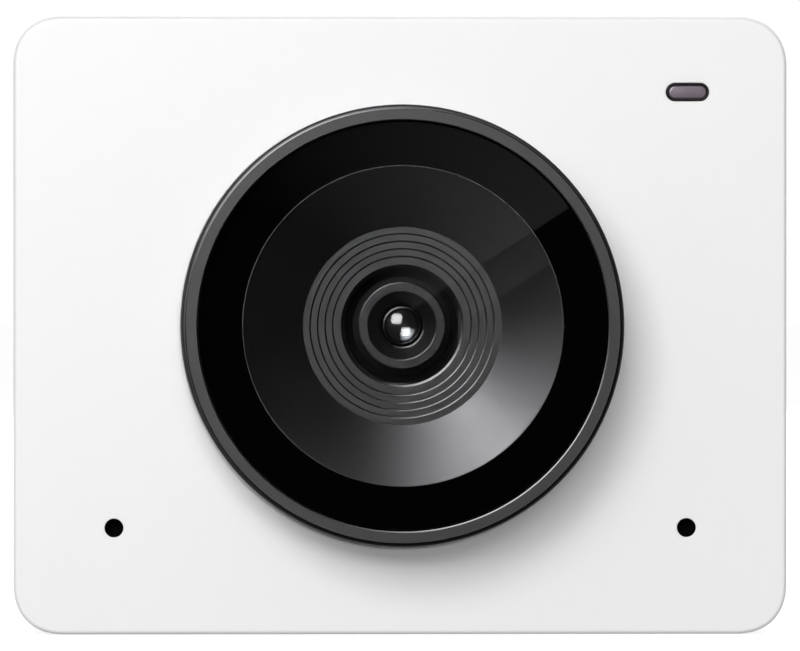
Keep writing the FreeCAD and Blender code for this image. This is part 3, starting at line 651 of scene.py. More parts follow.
def finish(name, tint, roughness, metallic=0.0, grain=0.1, depth=0.001, size=8.0, change=0.03,
           gloss=0.05, turning=0.0, turning_depth=0.0006, coat=0.0, specular=0.5):
    """A plain surface with its grain, slow drift of colour and gloss, and turning marks.
    Grain, depth, size and turning are in millimetres. Pieces that ask again share it."""
    if name in bpy.data.materials:
        return bpy.data.materials[name]
    material, tree, surface = new_material(name, tint)
    drift_over(tree, surface, tint, roughness, size, change, gloss)
    relief = use_group(tree, "grain", Size=grain * MM, Depth=depth * MM).outputs["Height"]
    if turning:
        rings = use_group(tree, "turning", Pitch=turning * MM, Depth=turning_depth * MM)
        relief = math_node(tree, "ADD", relief, rings.outputs["Height"])
    bump(tree, surface, relief)
    surface.inputs["Metallic"].default_value = metallic
    surface.inputs["Specular IOR Level"].default_value = specular
    surface.inputs["Coat Weight"].default_value = coat
    surface.inputs["Coat Roughness"].default_value = 0.12
    return material


def show_through(tree, surface, share):
    """Lets a share of the light pass straight through the surface."""
    clear = tree.nodes.new("ShaderNodeBsdfTransparent")
    mix = add(tree, "MixShader", Fac=share)
    tree.links.new(surface.outputs["BSDF"], mix.inputs[1])
    tree.links.new(clear.outputs["BSDF"], mix.inputs[2])
    tree.links.new(mix.outputs[0], node_of(tree, "OUTPUT_MATERIAL").inputs["Surface"])


def shine(tree, strength):
    """Makes a bare material give white light."""
    output = tree.nodes.new("ShaderNodeOutputMaterial")
    light = add(tree, "Emission", Strength=strength)
    tree.links.new(light.outputs[0], output.inputs["Surface"])


def glass(name, tint, ior=1.5, smear=0.02):
    """Clear glass that lets the lamps through to what lies behind it."""
    material, tree, surface = new_material(name, tint)
    surface.inputs["Base Color"].default_value = tuple(tint)
    surface.inputs["Transmission Weight"].default_value = 1.0
    surface.inputs["IOR"].default_value = ior
    grain = use_group(tree, "grain", Size=6 * MM, Depth=0.01 * MM)
    blur = math_node(tree, "MULTIPLY", grain.outputs["Shade"], smear)
    tree.links.new(blur, surface.inputs["Roughness"])
    path = tree.nodes.new("ShaderNodeLightPath")
    mirrored = math_node(tree, "SUBTRACT", path.outputs["Is Glossy Ray"],
                         path.outputs["Is Transmission Ray"])
    inside = math_node(tree, "MAXIMUM", path.outputs["Is Diffuse Ray"], mirrored)
    passing = math_node(tree, "MAXIMUM", path.outputs["Is Shadow Ray"], inside)
    show_through(tree, surface, passing)
    return material


def dress(node_slot, material):
    """Gives the material to each frame node of that slot that still shows."""
    for name, obj in frame["nodes"].items():
        if slot_of[name] == node_slot and not obj.hide_render:
            obj.data.materials.clear()
            obj.data.materials.append(material)


# Operators

class WEBCAM_OT_front_shell(bpy.types.Operator):
    """Front shell with its holes, screw bosses and bush pocket"""
    bl_idname = "webcam.front_shell"
    bl_label = "Front shell"

    def execute(self, context):
        sizes = context.scene.webcam_body
        hardware = context.scene.webcam_hardware
        inner_y = face_y + sizes.wall
        shell = rounded_plate(half_width, half_height, sizes.corner, face_y, seam_y,
                              sizes.corner_squareness)
        round_edges(shell, sharp_edges(shell, face_y), sizes.front_edge, 8)
        round_edges(shell, sharp_edges(shell, seam_y), sizes.seam_edge, 1)
        cavity = rounded_plate(half_width - sizes.wall, half_height - sizes.wall,
                               sizes.corner - sizes.wall, inner_y, seam_y + sizes.wall)
        shell = combine(shell, cavity, "DIFFERENCE")

        clamp_x = clamp_high.x - CLAMP_HEAD
        clamps = four_places(clamp_x, clamp_x)
        boards = four_places(board_screw_high.x - BOARD_HEAD,
                             board_screw_high.z - BOARD_HEAD - axis_z)
        covers = cover_screw_places(hardware)
        root = inner_y - sizes.wall / 4
        bosses = posts(sizes.boss, root, clamp_high.y - CLAMP_HEAD_DEPTH, clamps)
        bosses += posts(sizes.boss, root, main_board_low.y, boards)
        bosses += posts(sizes.sleeve, root, seam_y - SLEEVE_REACH, covers)
        bush_half = (bush_high.y - bush_low.y) / 2
        bosses.append(six_sided(bush_half + hardware.bush_wall, sizes.wall / 2,
                                bush_high.z + hardware.bush_cap))
        shell = combine(shell, gather(bosses), "UNION")
        pilots = posts(PILOT, inner_y + MM / 2, clamp_high.y, clamps)
        pilots += posts(PILOT, main_board_low.y - BOARD_PILOT_DEPTH, seam_y, boards)
        pilots += posts(COVER_PILOT, cover_screw_low.y - PILOT_SPARE, seam_y, covers)
        before = face_y - PAST
        behind = inner_y + PAST
        holes = [disc(sizes.microphone_hole, before, behind, side * microphone_x(), microphone_z())
                 for side in (-1, 1)]
        opening = context.scene.webcam_barrel.radius + sizes.barrel_gap
        holes.append(disc(opening, before, behind, 0, axis_z, 192))
        holes.append(light_opening(before, behind))
        holes.append(six_sided(bush_half, -PAST, bush_high.z))
        shell = combine(shell, gather(pilots + holes), "DIFFERENCE")
        round_edges(shell, sharp_edges(shell, face_y), sizes.hole_edge, 8)
        # Painted shade: the walls of the microphone holes turn near black below a small depth, as
        # the shade inside these narrow holes.
        for face in shell.faces:
            middle = face.calc_center_median()
            away = math.hypot(abs(middle.x) - microphone_x(), middle.z - microphone_z())
            in_hole_shade = face_y + sizes.hole_shade_depth < middle.y < inner_y - MERGE
            if in_hole_shade and away < sizes.microphone_hole + MERGE:
                face.material_index = 1
        hole_shade_paint = finish("Black painted hole shade", (0.001, 0.001, 0.001, 1.0), 0.9, grain=0.05,
                        specular=0.0)
        finish_piece("front_shell", shell, [shell_white(context), hole_shade_paint], ["front_cover"])
        return {"FINISHED"}


def microphone_x():
    return mesh_high.x - (mesh_high.z - mesh_low.z) / 2


def microphone_z():
    return (mesh_high.z + mesh_low.z) / 2


def light_opening(y0, y1, inset=0.0):
    """The hole of the status light, or what is left of it inside an inset."""
    width = sleeve_high.x - sleeve_low.x - 2 * inset
    height = sleeve_high.z - sleeve_low.z - 2 * inset
    return pill(width, height, y0, y1, (sleeve_high.x + sleeve_low.x) / 2,
                (sleeve_high.z + sleeve_low.z) / 2)


def shell_white(context):
    return finish("Satin white shell", context.scene.webcam_colours.shell, 0.42, grain=0.09,
                  depth=0.0011, size=14.0, change=0.006, gloss=0.03)


class WEBCAM_OT_rear_shell(bpy.types.Operator):
    """Rear shell with vents, screw wells, socket opening and locating lip"""
    bl_idname = "webcam.rear_shell"
    bl_label = "Rear shell"

    def execute(self, context):
        sizes = context.scene.webcam_body
        hardware = context.scene.webcam_hardware
        shell = rounded_plate(half_width, half_height, sizes.corner, seam_y, back_y,
                              sizes.corner_squareness)
        round_edges(shell, sharp_edges(shell, back_y), sizes.rear_edge, 10)
        round_edges(shell, sharp_edges(shell, seam_y), sizes.seam_edge, 1)

        places = cover_screw_places(hardware)
        root = seam_y + MM / 2
        lip_x = half_width - sizes.wall - LIP_PLAY
        lip_z = half_height - sizes.wall - LIP_PLAY
        lip = rounded_plate(lip_x, lip_z, sizes.corner - sizes.wall, seam_y - sizes.lip, root)
        core = block(lip_x - sizes.lip_wall, lip_z - sizes.lip_wall, seam_y - 2 * sizes.lip,
                     seam_y + PAST)
        lip = combine(lip, core, "DIFFERENCE")
        lip = combine(lip, bush_notch(seam_y - 2 * sizes.lip, seam_y + PAST, 0), "DIFFERENCE")
        shell = combine(shell, lip, "UNION")
        sleeves = posts(sizes.sleeve, seam_y - SLEEVE_REACH, root, places)
        shell = combine(shell, gather(sleeves), "UNION")

        seat_y = cover_screw_high.y - hardware.screw_head_depth
        well = hardware.screw_head + sizes.screw_gap
        behind = back_y + PAST
        cutters = [disc(well, seat_y, behind, x, z) for x, z in places]
        first = -(sizes.vent_count - 1) / 2 * sizes.vent_pitch
        vent_z = (sink_high.z + sink_low.z) / 2
        cutters += [pill(sizes.vent_width, sizes.vent_height, seam_y - PAST, behind,
                         first + i * sizes.vent_pitch, vent_z, 24)
                    for i in range(sizes.vent_count)]
        cutters.append(pill(port_high.x - port_low.x + 2 * sizes.port_gap,
                            port_high.z - port_low.z + 2 * sizes.port_gap,
                            seam_y - PAST, behind, 0, (port_high.z + port_low.z) / 2))
        shell = combine(shell, gather(cutters), "DIFFERENCE")
        passages = posts(hardware.screw_shank + sizes.screw_gap, seam_y - 3 * PAST, back_y, places)
        shell = combine(shell, gather(passages), "DIFFERENCE")
        round_edges(shell, sharp_edges(shell, back_y), sizes.vent_edge, 8)
        finish_piece("rear_shell", shell, [shell_white(context)], ["rear_cover"])
        return {"FINISHED"}


def bush_notch(y0, y1, z):
    """A cutter that makes room for the tripod bush, with its middle at the height z."""
    return block((bush_high.x - bush_low.x) / 2 + MM, NOTCH_HALF, y0, y1, 0, z)


class WEBCAM_OT_lens_housing(bpy.types.Operator):
    """Round black housing with its inner flange"""
    bl_idname = "webcam.lens_housing"
    bl_label = "Lens housing"

    def execute(self, context):
        sizes = context.scene.webcam_barrel
        inner_y = face_y + context.scene.webcam_body.wall
        half_side = math.pi / 8     # angle of half a side of the eight-sided flange
        flange_corner = tube_high.x / math.cos(half_side)
        tube = spun([
            (sizes.ring_bore, tube_low.y, 0),
            (sizes.radius, tube_low.y, sizes.shoulder),
            (sizes.radius, inner_y, 0),
            (flange_corner + PAST, inner_y, 0),
            (flange_corner + PAST, tube_high.y, 0),
            (sizes.bore, tube_high.y, 0),
            (sizes.bore, baffle_low.y, 0),
            (sizes.ring_bore, baffle_low.y, 0),
        ], rounds=8)
        octagon = disc(flange_corner, inner_y - 2 * PAST, tube_high.y + 2 * PAST, segments=8)
        rotate(octagon, Matrix.Rotation(half_side, 3, "Y"), (0, 0, axis_z))
        outside = disc(flange_corner + 3 * PAST, inner_y - PAST, tube_high.y + PAST)
        tube = combine(tube, combine(outside, octagon, "DIFFERENCE"), "DIFFERENCE")
        notch = bush_notch(inner_y - PAST, tube_high.y + PAST,
                           axis_z - sizes.radius - NOTCH_HALF - NOTCH_PLAY)
        tube = combine(tube, notch, "DIFFERENCE")
        colours = context.scene.webcam_colours
        black = finish("Black housing", colours.housing, 0.4, grain=0.08, depth=0.0012,
                       size=6.0, change=0.06)
        finish_piece("lens_housing", tube, [black], ["barrel_tube"])
        return {"FINISHED"}


class WEBCAM_OT_front_ring(bpy.types.Operator):
    """Blasted metal ring with bright chamfers"""
    bl_idname = "webcam.front_ring"
    bl_label = "Front ring"

    def execute(self, context):
        sizes = context.scene.webcam_barrel
        edge_y = ring_low.y + sizes.ring_edge_depth
        ring = spun([
            (sizes.ring_bore, edge_y, 0),
            (sizes.ring_bore + sizes.ring_edge, ring_low.y, 0),
            (ring_high.x - sizes.ring_edge, ring_low.y, 0),
            (ring_high.x, edge_y, 0),
            (ring_high.x, ring_high.y, 0),
            (sizes.ring_bore, ring_high.y, 0),
        ], segments=256)
        colours = context.scene.webcam_colours
        grey = finish("Blasted dark metal", colours.ring, 0.42, metallic=1.0, grain=0.06,
                      depth=0.0018, size=3.0, change=0.05)
        mark_slopes(ring, 1)
        finish_piece("front_ring", ring, [grey, cut_edge(context)], ["bezel_ring"])
        return {"FINISHED"}


def mark_slopes(bm, index):
    """Gives a material to the slight slopes, which are neither flat to the front nor steep."""
    steep, flat = 0.5, 0.995
    for face in bm.faces:
        if steep < -face.normal.y < flat:
            face.material_index = index


def cut_edge(context):
    return finish("Cut edge", context.scene.webcam_colours.cut_edge, 0.25, metallic=1.0,
                  grain=0.05, depth=0.0003, size=2.0, change=0.05)


# Painted shade: a near black copy of the dark finishes, put on bores, grooves and the lens
# shoulder where shade falls.
def painted_recess_shade(context):
    return finish("Black painted recess shade", context.scene.webcam_colours.recess, 0.8, grain=0.05,
                  specular=0.05)


class WEBCAM_OT_window(bpy.types.Operator):
    """Round glass window with a black print round its edge"""
    bl_idname = "webcam.window"
    bl_label = "Window"

    def execute(self, context):
        sizes = context.scene.webcam_barrel
        pane = spun([
            (0, glass_low.y, 0),
            (glass_high.x, glass_low.y, sizes.glass_edge),
            (glass_high.x, glass_high.y, 0),
            (sizes.print_bore, glass_high.y, 0),
            (0, glass_high.y, 0),
        ], segments=256, rounds=2)
        clear_front = glass_low.y + 1.5 * sizes.glass_edge
        for face in pane.faces:
            middle = face.calc_center_median()
            outside = off_axis(middle) > sizes.print_bore
            face.material_index = 1 if outside and middle.y > clear_front else 0
        ink = finish("Black print", (0.001, 0.001, 0.001, 1.0), 1.0, grain=0.05, depth=0.0002,
                     specular=0.0)
        clear = glass("Window glass", (1.0, 1.0, 1.0, 1.0))
        finish_piece("window", pane, [clear, ink], ["cover_glass"])
        return {"FINISHED"}


class WEBCAM_OT_cone(bpy.types.Operator):
    """Black turned cone behind the window"""
    bl_idname = "webcam.cone"
    bl_label = "Cone"

    def execute(self, context):
        sizes = context.scene.webcam_barrel
        front = glass_high.y + WINDOW_GAP
        cone = spun([
            (sizes.mouth, front, 0),
            (funnel_high.x, front, 0),
            (funnel_high.x, funnel_high.y, 0),
            (sizes.throat, funnel_high.y, 0),
            (sizes.throat, funnel_high.y - sizes.throat_land, 0),
        ], segments=256)
        colours = context.scene.webcam_colours
        black = finish("Black blasted cone", colours.cone, 0.3, metallic=1.0, grain=0.12,
                       depth=0.0006, size=4.0, change=0.04)
        finish_piece("cone", cone, [black], ["funnel_cone"])
        return {"FINISHED"}


class WEBCAM_OT_step_disc(bpy.types.Operator):
    """Grey disc with fine steps round the lens opening"""
    bl_idname = "webcam.step_disc"
    bl_label = "Step disc"

    def execute(self, context):
        sizes = context.scene.webcam_barrel
        y = baffle_low.y
        outline = [(baffle_high.x, y, 0)]
        for i in range(sizes.steps):
            radius = sizes.throat - (i + 1) * sizes.step_pitch + sizes.step_slant / 2
            outline.append((radius, y, 0))
            outline.append((radius - sizes.step_edge, y + sizes.step_edge_depth, 0))
            y += sizes.step_drop
            outline.append((radius - sizes.step_slant, y, 0))
        outline += [
            (sizes.opening + sizes.opening_edge, y, 0),
            (sizes.opening, y + sizes.opening_edge_depth, 0),
            (sizes.opening, baffle_high.y, 0),
            (baffle_high.x, baffle_high.y, 0),
        ]
        colours = context.scene.webcam_colours
        grey = finish("Grey step disc", colours.disc, 0.42, metallic=1.0, grain=0.06,
                      depth=0.0014, size=3.0, change=0.04)
        plate = spun(outline, segments=256)
        mark_slopes(plate, 1)
        # Painted shade: the bore of the lens opening gets the near black recess shade instead of
        # the disc's grey metal.
        for face in plate.faces:
            if off_axis(face.calc_center_median()) < sizes.opening + MERGE:
                face.material_index = 2
        finish_piece("step_disc", plate, [grey, cut_edge(context), painted_recess_shade(context)],
                     ["stepped_baffle"])
        return {"FINISHED"}


class WEBCAM_OT_lens(bpy.types.Operator):
    """Lens barrel, lock ring and outer lens, which focus together"""
    bl_idname = "webcam.lens"
    bl_label = "Lens"

    def execute(self, context):
        sizes = context.scene.webcam_lens
        colours = context.scene.webcam_colours
        mouth_y = lens_low.y + sizes.mouth_depth
        shoulder_y = lens_low.y + sizes.nose_length
        edge_y = lens_low.y + sizes.nose_edge_depth
        barrel = spun([
            (sizes.mouth, edge_y, 0),
            (sizes.mouth + sizes.nose_edge, lens_low.y, 0),
            (sizes.nose - sizes.nose_edge, lens_low.y, 0),
            (sizes.nose, edge_y, 0),
            (sizes.nose_base, shoulder_y, 0),
            (lens_high.x, shoulder_y, 0),
            (lens_high.x, lens_high.y, sizes.nose_edge),
            (sizes.bore, lens_high.y, 0),
            (sizes.bore, mouth_y, 0),
        ], rounds=8)
        mark_slopes(barrel, 3)
        # Painted shade: the bore, the shoulder and the body behind it get the near black recess
        # shade, and the inner cone a darker black than the flank, all on one black barrel.
        for face in barrel.faces:
            middle = face.calc_center_median()
            inside = off_axis(middle) < sizes.mouth
            dark = inside or middle.y > shoulder_y - MERGE
            if not face.material_index:
                face.material_index = 1 if middle.y < edge_y else 2 if dark else 0
            if face.material_index == 3 and middle.y > edge_y:
                face.material_index = 4 if inside else 0
        black = finish("Black lens barrel", colours.lens_body, 0.45, grain=0.05,
                       depth=0.0005, turning=0.08, turning_depth=0.0006, specular=0.3)
        face_grey = finish("Lens face", colours.lens_face, 0.42, metallic=1.0, grain=0.05,
                           depth=0.0012, size=1.0, change=0.04)
        recess = painted_recess_shade(context)
        edge_grey = finish("Lens edge", colours.lens_face, 0.3, metallic=1.0, grain=0.05,
                           depth=0.0003)
        mouth_painted_shade = finish("Black lens mouth painted shade", colours.mouth, 0.45, grain=0.05, specular=0.25)
        finish_piece("lens_nose", barrel, [black, face_grey, recess, edge_grey, mouth_painted_shade],
                     ["lens_barrel"], "lens_carriage")

        outer_bead = lock_high.x - sizes.lock_bead
        inner_bead = sizes.lock_bore + sizes.lock_bead
        slope_y = lock_low.y + sizes.lock_bead_depth
        groove_y = lock_low.y + sizes.lock_groove_depth
        lock = spun([
            (sizes.lock_bore, lock_low.y, 0),
            (inner_bead, slope_y, 0),
            (outer_bead - sizes.lock_groove, groove_y, 0),
            (outer_bead, groove_y, 0),
            (outer_bead, slope_y, 0),
            (lock_high.x, lock_low.y, 0),
            (lock_high.x, lock_high.y, 0),
            (sizes.lock_bore, lock_high.y, 0),
        ], segments=128)
        satin = finish("Satin lock ring", colours.lock_ring, 0.28, metallic=1.0, grain=0.04,
                       depth=0.0004)
        # Painted shade: the groove between the beads gets the near black recess shade instead of
        # the ring's satin metal.
        for face in lock.faces:
            middle = face.calc_center_median()
            in_groove_shade = slope_y < middle.y < lock_high.y - MERGE
            if in_groove_shade and inner_bead < off_axis(middle) < lock_high.x - MERGE:
                face.material_index = 1
        finish_piece("lock_ring", lock, [satin, recess], ["lens_retainer"], "lens_carriage")

        clear = sizes.lock_bore - LENS_PLAY
        back_dome = arc(outer_lens_high.x, outer_lens_high.y, outer_lens_high.y - sizes.back_dome,
                        20)
        dome = spun(arc(clear, outer_lens_low.y, outer_lens_low.y + sizes.dome, 16)
                    + [(clear, lock_high.y, 0), (outer_lens_high.x, lock_high.y, 0)]
                    + back_dome[::-1], segments=96)
        finish_piece("outer_lens", dome, [coated_lens()], ["front_element"], "lens_carriage")
        return {"FINISHED"}


def coated_lens():
    """Dense lens glass, a little grey, whose coating softens what it mirrors."""
    return glass("Coated lens", (0.61, 0.63, 0.67, 1.0), ior=1.7, smear=0.25)


class WEBCAM_OT_status_light(bpy.types.Operator):
    """Smoky window of the status light and its black rim"""
    bl_idname = "webcam.status_light"
    bl_label = "Status light"

    def execute(self, context):
        sizes = context.scene.webcam_hardware
        colours = context.scene.webcam_colours
        rim = combine(light_opening(face_y, sleeve_high.y),
                      light_opening(face_y - PAST, sleeve_high.y + PAST, sizes.light_rim),
                      "DIFFERENCE")
        round_edges(rim, sharp_edges(rim, face_y), sizes.light_edge / 2, 8)
        black = finish("Status rim", colours.rim, 0.3, grain=0.05, depth=0.0005,
                       specular=0.2)
        finish_piece("light_rim", rim, [black], ["light_sleeve"])

        inner_y = face_y + context.scene.webcam_body.wall
        pipe = light_opening(face_y, pipe_high.y, sizes.light_rim)
        round_edges(pipe, sharp_edges(pipe, face_y), sizes.light_edge, 8)
        middle_x = (pipe_high.x + pipe_low.x) / 2
        middle_z = (pipe_high.z + pipe_low.z) / 2
        flange = block(pipe_high.x - middle_x, pipe_high.z - middle_z, inner_y,
                       inner_y + sizes.light_flange, middle_x, middle_z)
        pipe = combine(pipe, flange, "UNION")
        smoky = finish("Smoky light window", colours.light, 0.25, grain=0.1, depth=0.0003,
                       size=0.6, change=0.08, coat=0.7)
        finish_piece("light_window", pipe, [smoky], ["light_pipe"])
        return {"FINISHED"}


class WEBCAM_OT_rear_screws(bpy.types.Operator):
    """Four rear screws with a six-sided driver recess"""
    bl_idname = "webcam.rear_screws"
    bl_label = "Rear screws"

    def execute(self, context):
        sizes = context.scene.webcam_hardware
        seat_y = cover_screw_high.y - sizes.screw_head_depth
        head_rim = 0.03 * MM
        shank_tip = 0.2 * MM
        recess_edge = 0.04 * MM
        screws = []
        for x, z in cover_screw_places(sizes):
            screw = spun([
                (0, cover_screw_high.y, 0),
                (sizes.screw_head, cover_screw_high.y, sizes.screw_edge),
                (sizes.screw_head, seat_y, head_rim),
                (sizes.screw_shank, seat_y, 0),
                (sizes.screw_shank, cover_screw_low.y, shank_tip),
                (0, cover_screw_low.y, 0),
            ], segments=48, x=x, z=z)
            recess = disc(sizes.driver_width / math.cos(math.pi / 6),
                          cover_screw_high.y - sizes.driver_depth, back_y + PAST, x, z, 6)
            screw = combine(screw, recess, "DIFFERENCE")
            round_edges(screw, sharp_edges(screw, cover_screw_high.y), recess_edge, 1)
            screws.append(screw)
        black = finish("Black screw", (0.035, 0.035, 0.036, 1.0), 0.35, metallic=0.9,
                       grain=0.05, depth=0.0012)
        finish_piece("cover_screws", gather(screws), [black], ["rear_screws"])
        return {"FINISHED"}


class WEBCAM_OT_tripod_bush(bpy.types.Operator):
    """Six-sided brass block with its cut thread"""
    bl_idname = "webcam.tripod_bush"
    bl_label = "Tripod bush"

    def execute(self, context):
        sizes = context.scene.webcam_hardware
        middle_y = (bush_high.y + bush_low.y) / 2
        top = bush_high.z
        steps = 72
        turns = math.ceil(top / sizes.thread_pitch) + 2
        bm = bmesh.new()
        corners = []
        for i in range(turns):
            root_z = (i - 1) * sizes.thread_pitch
            corners.append(bm.verts.new((sizes.thread_minor, middle_y, root_z)))
            corners.append(bm.verts.new((sizes.thread_minor + sizes.thread_depth, middle_y,
                                         root_z + sizes.thread_pitch / 2)))
        corners.append(bm.verts.new((sizes.thread_minor, middle_y,
                                     (turns - 1) * sizes.thread_pitch)))
        for lower, upper in zip(corners, corners[1:]):
            bm.edges.new((lower, upper))
        bmesh.ops.spin(bm, geom=bm.verts[:] + bm.edges[:], cent=(0, middle_y, 0),
                       axis=(0, 0, 1), dvec=(0, 0, sizes.thread_pitch / steps),
                       angle=math.tau, steps=steps, use_merge=False)
        bmesh.ops.remove_doubles(bm, verts=bm.verts, dist=MERGE)
        for height, way in ((0.0, -1), (top, 1)):
            bmesh.ops.bisect_plane(bm, geom=bm.verts[:] + bm.edges[:] + bm.faces[:],
                                   dist=MERGE, plane_co=(0, 0, height), plane_no=(0, 0, way),
                                   clear_outer=True)
        outlines = []
        for height in (0.0, top):
            ring = bmesh.ops.create_circle(bm, radius=bush_high.x, segments=6,
                                           matrix=Matrix.Translation((0, middle_y, height)))
            bmesh.ops.rotate(bm, verts=ring["verts"], cent=(0, middle_y, 0),
                             matrix=Matrix.Rotation(math.pi / 2, 3, "Z"))
            outline = list({e for v in ring["verts"] for e in v.link_edges})
            mouth = [e for e in bm.edges if len(e.link_faces) == 1
                     and all(abs(v.co.z - height) < MERGE for v in e.verts)]
            outlines += outline
            bmesh.ops.triangle_fill(bm, edges=outline + mouth, use_beauty=True,
                                    use_dissolve=False)
        bmesh.ops.bridge_loops(bm, edges=outlines)
        colours = context.scene.webcam_colours
        brass = finish("Cut brass", colours.brass, 0.28, metallic=1.0, grain=0.1,
                       depth=0.0015, size=2.0, change=0.08, gloss=0.12)
        finish_piece("tripod_bush", bm, [brass], ["tripod_insert"])
        return {"FINISHED"}


class WEBCAM_OT_socket(bpy.types.Operator):
    """Metal shell of the socket, its tongue and the tongue's contacts"""
    bl_idname = "webcam.socket"
    bl_label = "Socket"

    def execute(self, context):
        sizes = context.scene.webcam_hardware
        colours = context.scene.webcam_colours
        shell_rim = 0.09 * MM
        tongue_tip = 0.15 * MM
        base_half = 2.8 * MM
        contact_rise = 0.04 * MM
        contact_inset = 0.5 * MM
        z = (port_high.z + port_low.z) / 2
        width = port_high.x - port_low.x
        height = port_high.z - port_low.z
        shell = pill(width, height, port_low.y, port_high.y, 0, z)
        hollow = pill(width - 2 * sizes.port_wall, height - 2 * sizes.port_wall,
                      port_low.y - PAST, port_high.y + PAST, 0, z)
        shell = combine(shell, hollow, "DIFFERENCE")
        round_edges(shell, sharp_edges(shell, port_high.y), shell_rim, 3)
        nickel = finish("Nickel sheet", colours.nickel, 0.25, metallic=1.0, grain=0.3,
                        depth=0.001, size=2.0, change=0.05, gloss=0.1)
        finish_piece("port_shell", shell, [nickel], ["usb_shell"])

        tongue = block(tongue_high.x, sizes.tongue / 2, tongue_low.y, tongue_high.y, 0, z)
        round_edges(tongue, sharp_edges(tongue, tongue_high.y), tongue_tip, 3)
        base = block(base_half, (tongue_high.z - tongue_low.z) / 2, tongue_low.y,
                     tongue_low.y + sizes.tongue_floor, 0, z)
        tongue = combine(tongue, base, "UNION")
        plastic_faces = len(tongue.faces)
        contacts = []
        first = -(sizes.contact_count - 1) / 2 * sizes.contact_pitch
        for side in (-1, 1):
            for i in range(sizes.contact_count):
                contacts.append(block(sizes.contact_width / 2, contact_rise,
                                      tongue_low.y + sizes.tongue_floor,
                                      tongue_high.y - contact_inset,
                                      first + i * sizes.contact_pitch,
                                      z + side * sizes.tongue / 2))
        whole = gather([tongue] + contacts)
        whole.faces.ensure_lookup_table()
        for face in whole.faces[plastic_faces:]:
            face.material_index = 1
        plastic = finish("Socket plastic", colours.tongue, 0.45, grain=0.06, depth=0.001)
        gold = finish("Contact gold", colours.gold, 0.25, metallic=1.0, grain=0.08,
                      depth=0.0006)
        finish_piece("port_tongue", whole, [plastic, gold], ["usb_tongue"])
        return {"FINISHED"}


class WEBCAM_OT_inner_parts(bpy.types.Operator):
    """Finishes of the parts inside, which keep their shapes"""
    bl_idname = "webcam.inner_parts"
    bl_label = "Inner parts"

    def execute(self, context):
        dress("lens_glass", glass("Inner lens", (0.2, 0.22, 0.23, 1.0), ior=1.55))
        dress("filter_glass", glass("Filter glass", (0.72, 0.88, 0.86, 1.0), ior=1.52))
        dress("lens_black", finish("Lens black", (0.01, 0.01, 0.01, 1.0), 0.6,
                                   specular=0.2))
        dress("module_plastic", finish("Module plastic", (0.006, 0.006, 0.0065, 1.0), 0.75,
                                       grain=0.05, depth=0.0015, specular=0.1))
        dress("coil_copper", wound_copper())
        dress("magnet_nickel", finish("Magnet nickel", (0.5, 0.49, 0.47, 1.0), 0.3, 1.0,
                                      grain=0.2, depth=0.001))
        # Painted shade: the copper springs, which show through the lens opening, are near black
        # for the dark there.
        dress("spring_copper", finish("Spring painted black as shade", (0.012, 0.011, 0.01, 1.0), 0.5, 0.5,
                                      grain=0.1, depth=0.0005))
        dress("can_steel", finish("Can steel", (0.45, 0.45, 0.45, 1.0), 0.32, 1.0,
                                  grain=0.3, depth=0.0015, gloss=0.1))
        dress("screw_steel", finish("Screw steel", (0.35, 0.35, 0.36, 1.0), 0.3, 1.0,
                                    grain=0.08, depth=0.001))
        dress("pin_tin", finish("Tinned pins", (0.6, 0.6, 0.6, 1.0), 0.35, 1.0, grain=0.08))
        dress("board_blue", circuit_board())
        dress("chip_black", finish("Chip epoxy", (0.025, 0.025, 0.027, 1.0), 0.55,
                                   grain=0.06, depth=0.002, size=3.0, change=0.1))
        dress("part_tan", finish("Capacitor tan", (0.35, 0.25, 0.15, 1.0), 0.45, size=0.7,
                                 change=0.15))
        dress("connector_cream", finish("Connector cream", (0.7, 0.66, 0.55, 1.0), 0.5))
        dress("pad_grey", finish("Thermal pad", (0.3, 0.33, 0.38, 1.0), 0.8, grain=0.15,
                                 depth=0.01, size=1.5, change=0.1))
        dress("sink_aluminium", drawn_aluminium())
        dress("boot_rubber", finish("Rubber boot", (0.018, 0.018, 0.018, 1.0), 0.75,
                                    grain=0.05, depth=0.003))
        dress("mesh_black", woven_mesh())
        dress("led_yellow", finish("Status diode", (0.75, 0.65, 0.3, 1.0), 0.4, size=0.4,
                                   change=0.1, coat=0.4))
        return {"FINISHED"}


def stripes(tree, pitch, direction):
    """A smooth wave along one direction, with its crests a pitch apart."""
    place = scaled_place(tree, pitch)
    along = add(tree, "VectorMath", {"operation": "DOT_PRODUCT"}, _0=place, _1=direction)
    phase = math_node(tree, "MULTIPLY", along.outputs["Value"], math.tau)
    return math_node(tree, "MULTIPLY_ADD", math_node(tree, "SINE", phase), 0.5, 0.5)


def striped_finish(name, tint, roughness, metallic, pitch, depth, directions, specular=0.5):
    """A surface whose relief is one wave, or the higher of several crossing waves."""
    material = finish(name, tint, roughness, metallic, specular=specular)
    tree = material.node_tree
    surface = node_of(tree, "BSDF_PRINCIPLED")
    relief = stripes(tree, pitch * MM, directions[0])
    for direction in directions[1:]:
        relief = math_node(tree, "MAXIMUM", relief, stripes(tree, pitch * MM, direction))
    bump(tree, surface, math_node(tree, "MULTIPLY", relief, depth * MM))
    return material


def wound_copper():
    return striped_finish("Enamelled winding", (0.72, 0.32, 0.13, 1.0), 0.3, 1.0, 0.09, 0.03,
                          [(0.0, 1.0, 0.0)])


def drawn_aluminium():
    return striped_finish("Drawn aluminium", (0.3, 0.31, 0.32, 1.0), 0.38, 1.0, 0.06, 0.0015,
                          [(0.0, 1.0, 0.0)])


def woven_mesh():
    return striped_finish("Woven mesh", (0.0015, 0.0015, 0.0015, 1.0), 0.8, 0.0, 0.12, 0.02,
                          [(1.0, 0.0, 0.0), (0.0, 0.0, 1.0)], specular=0.05)


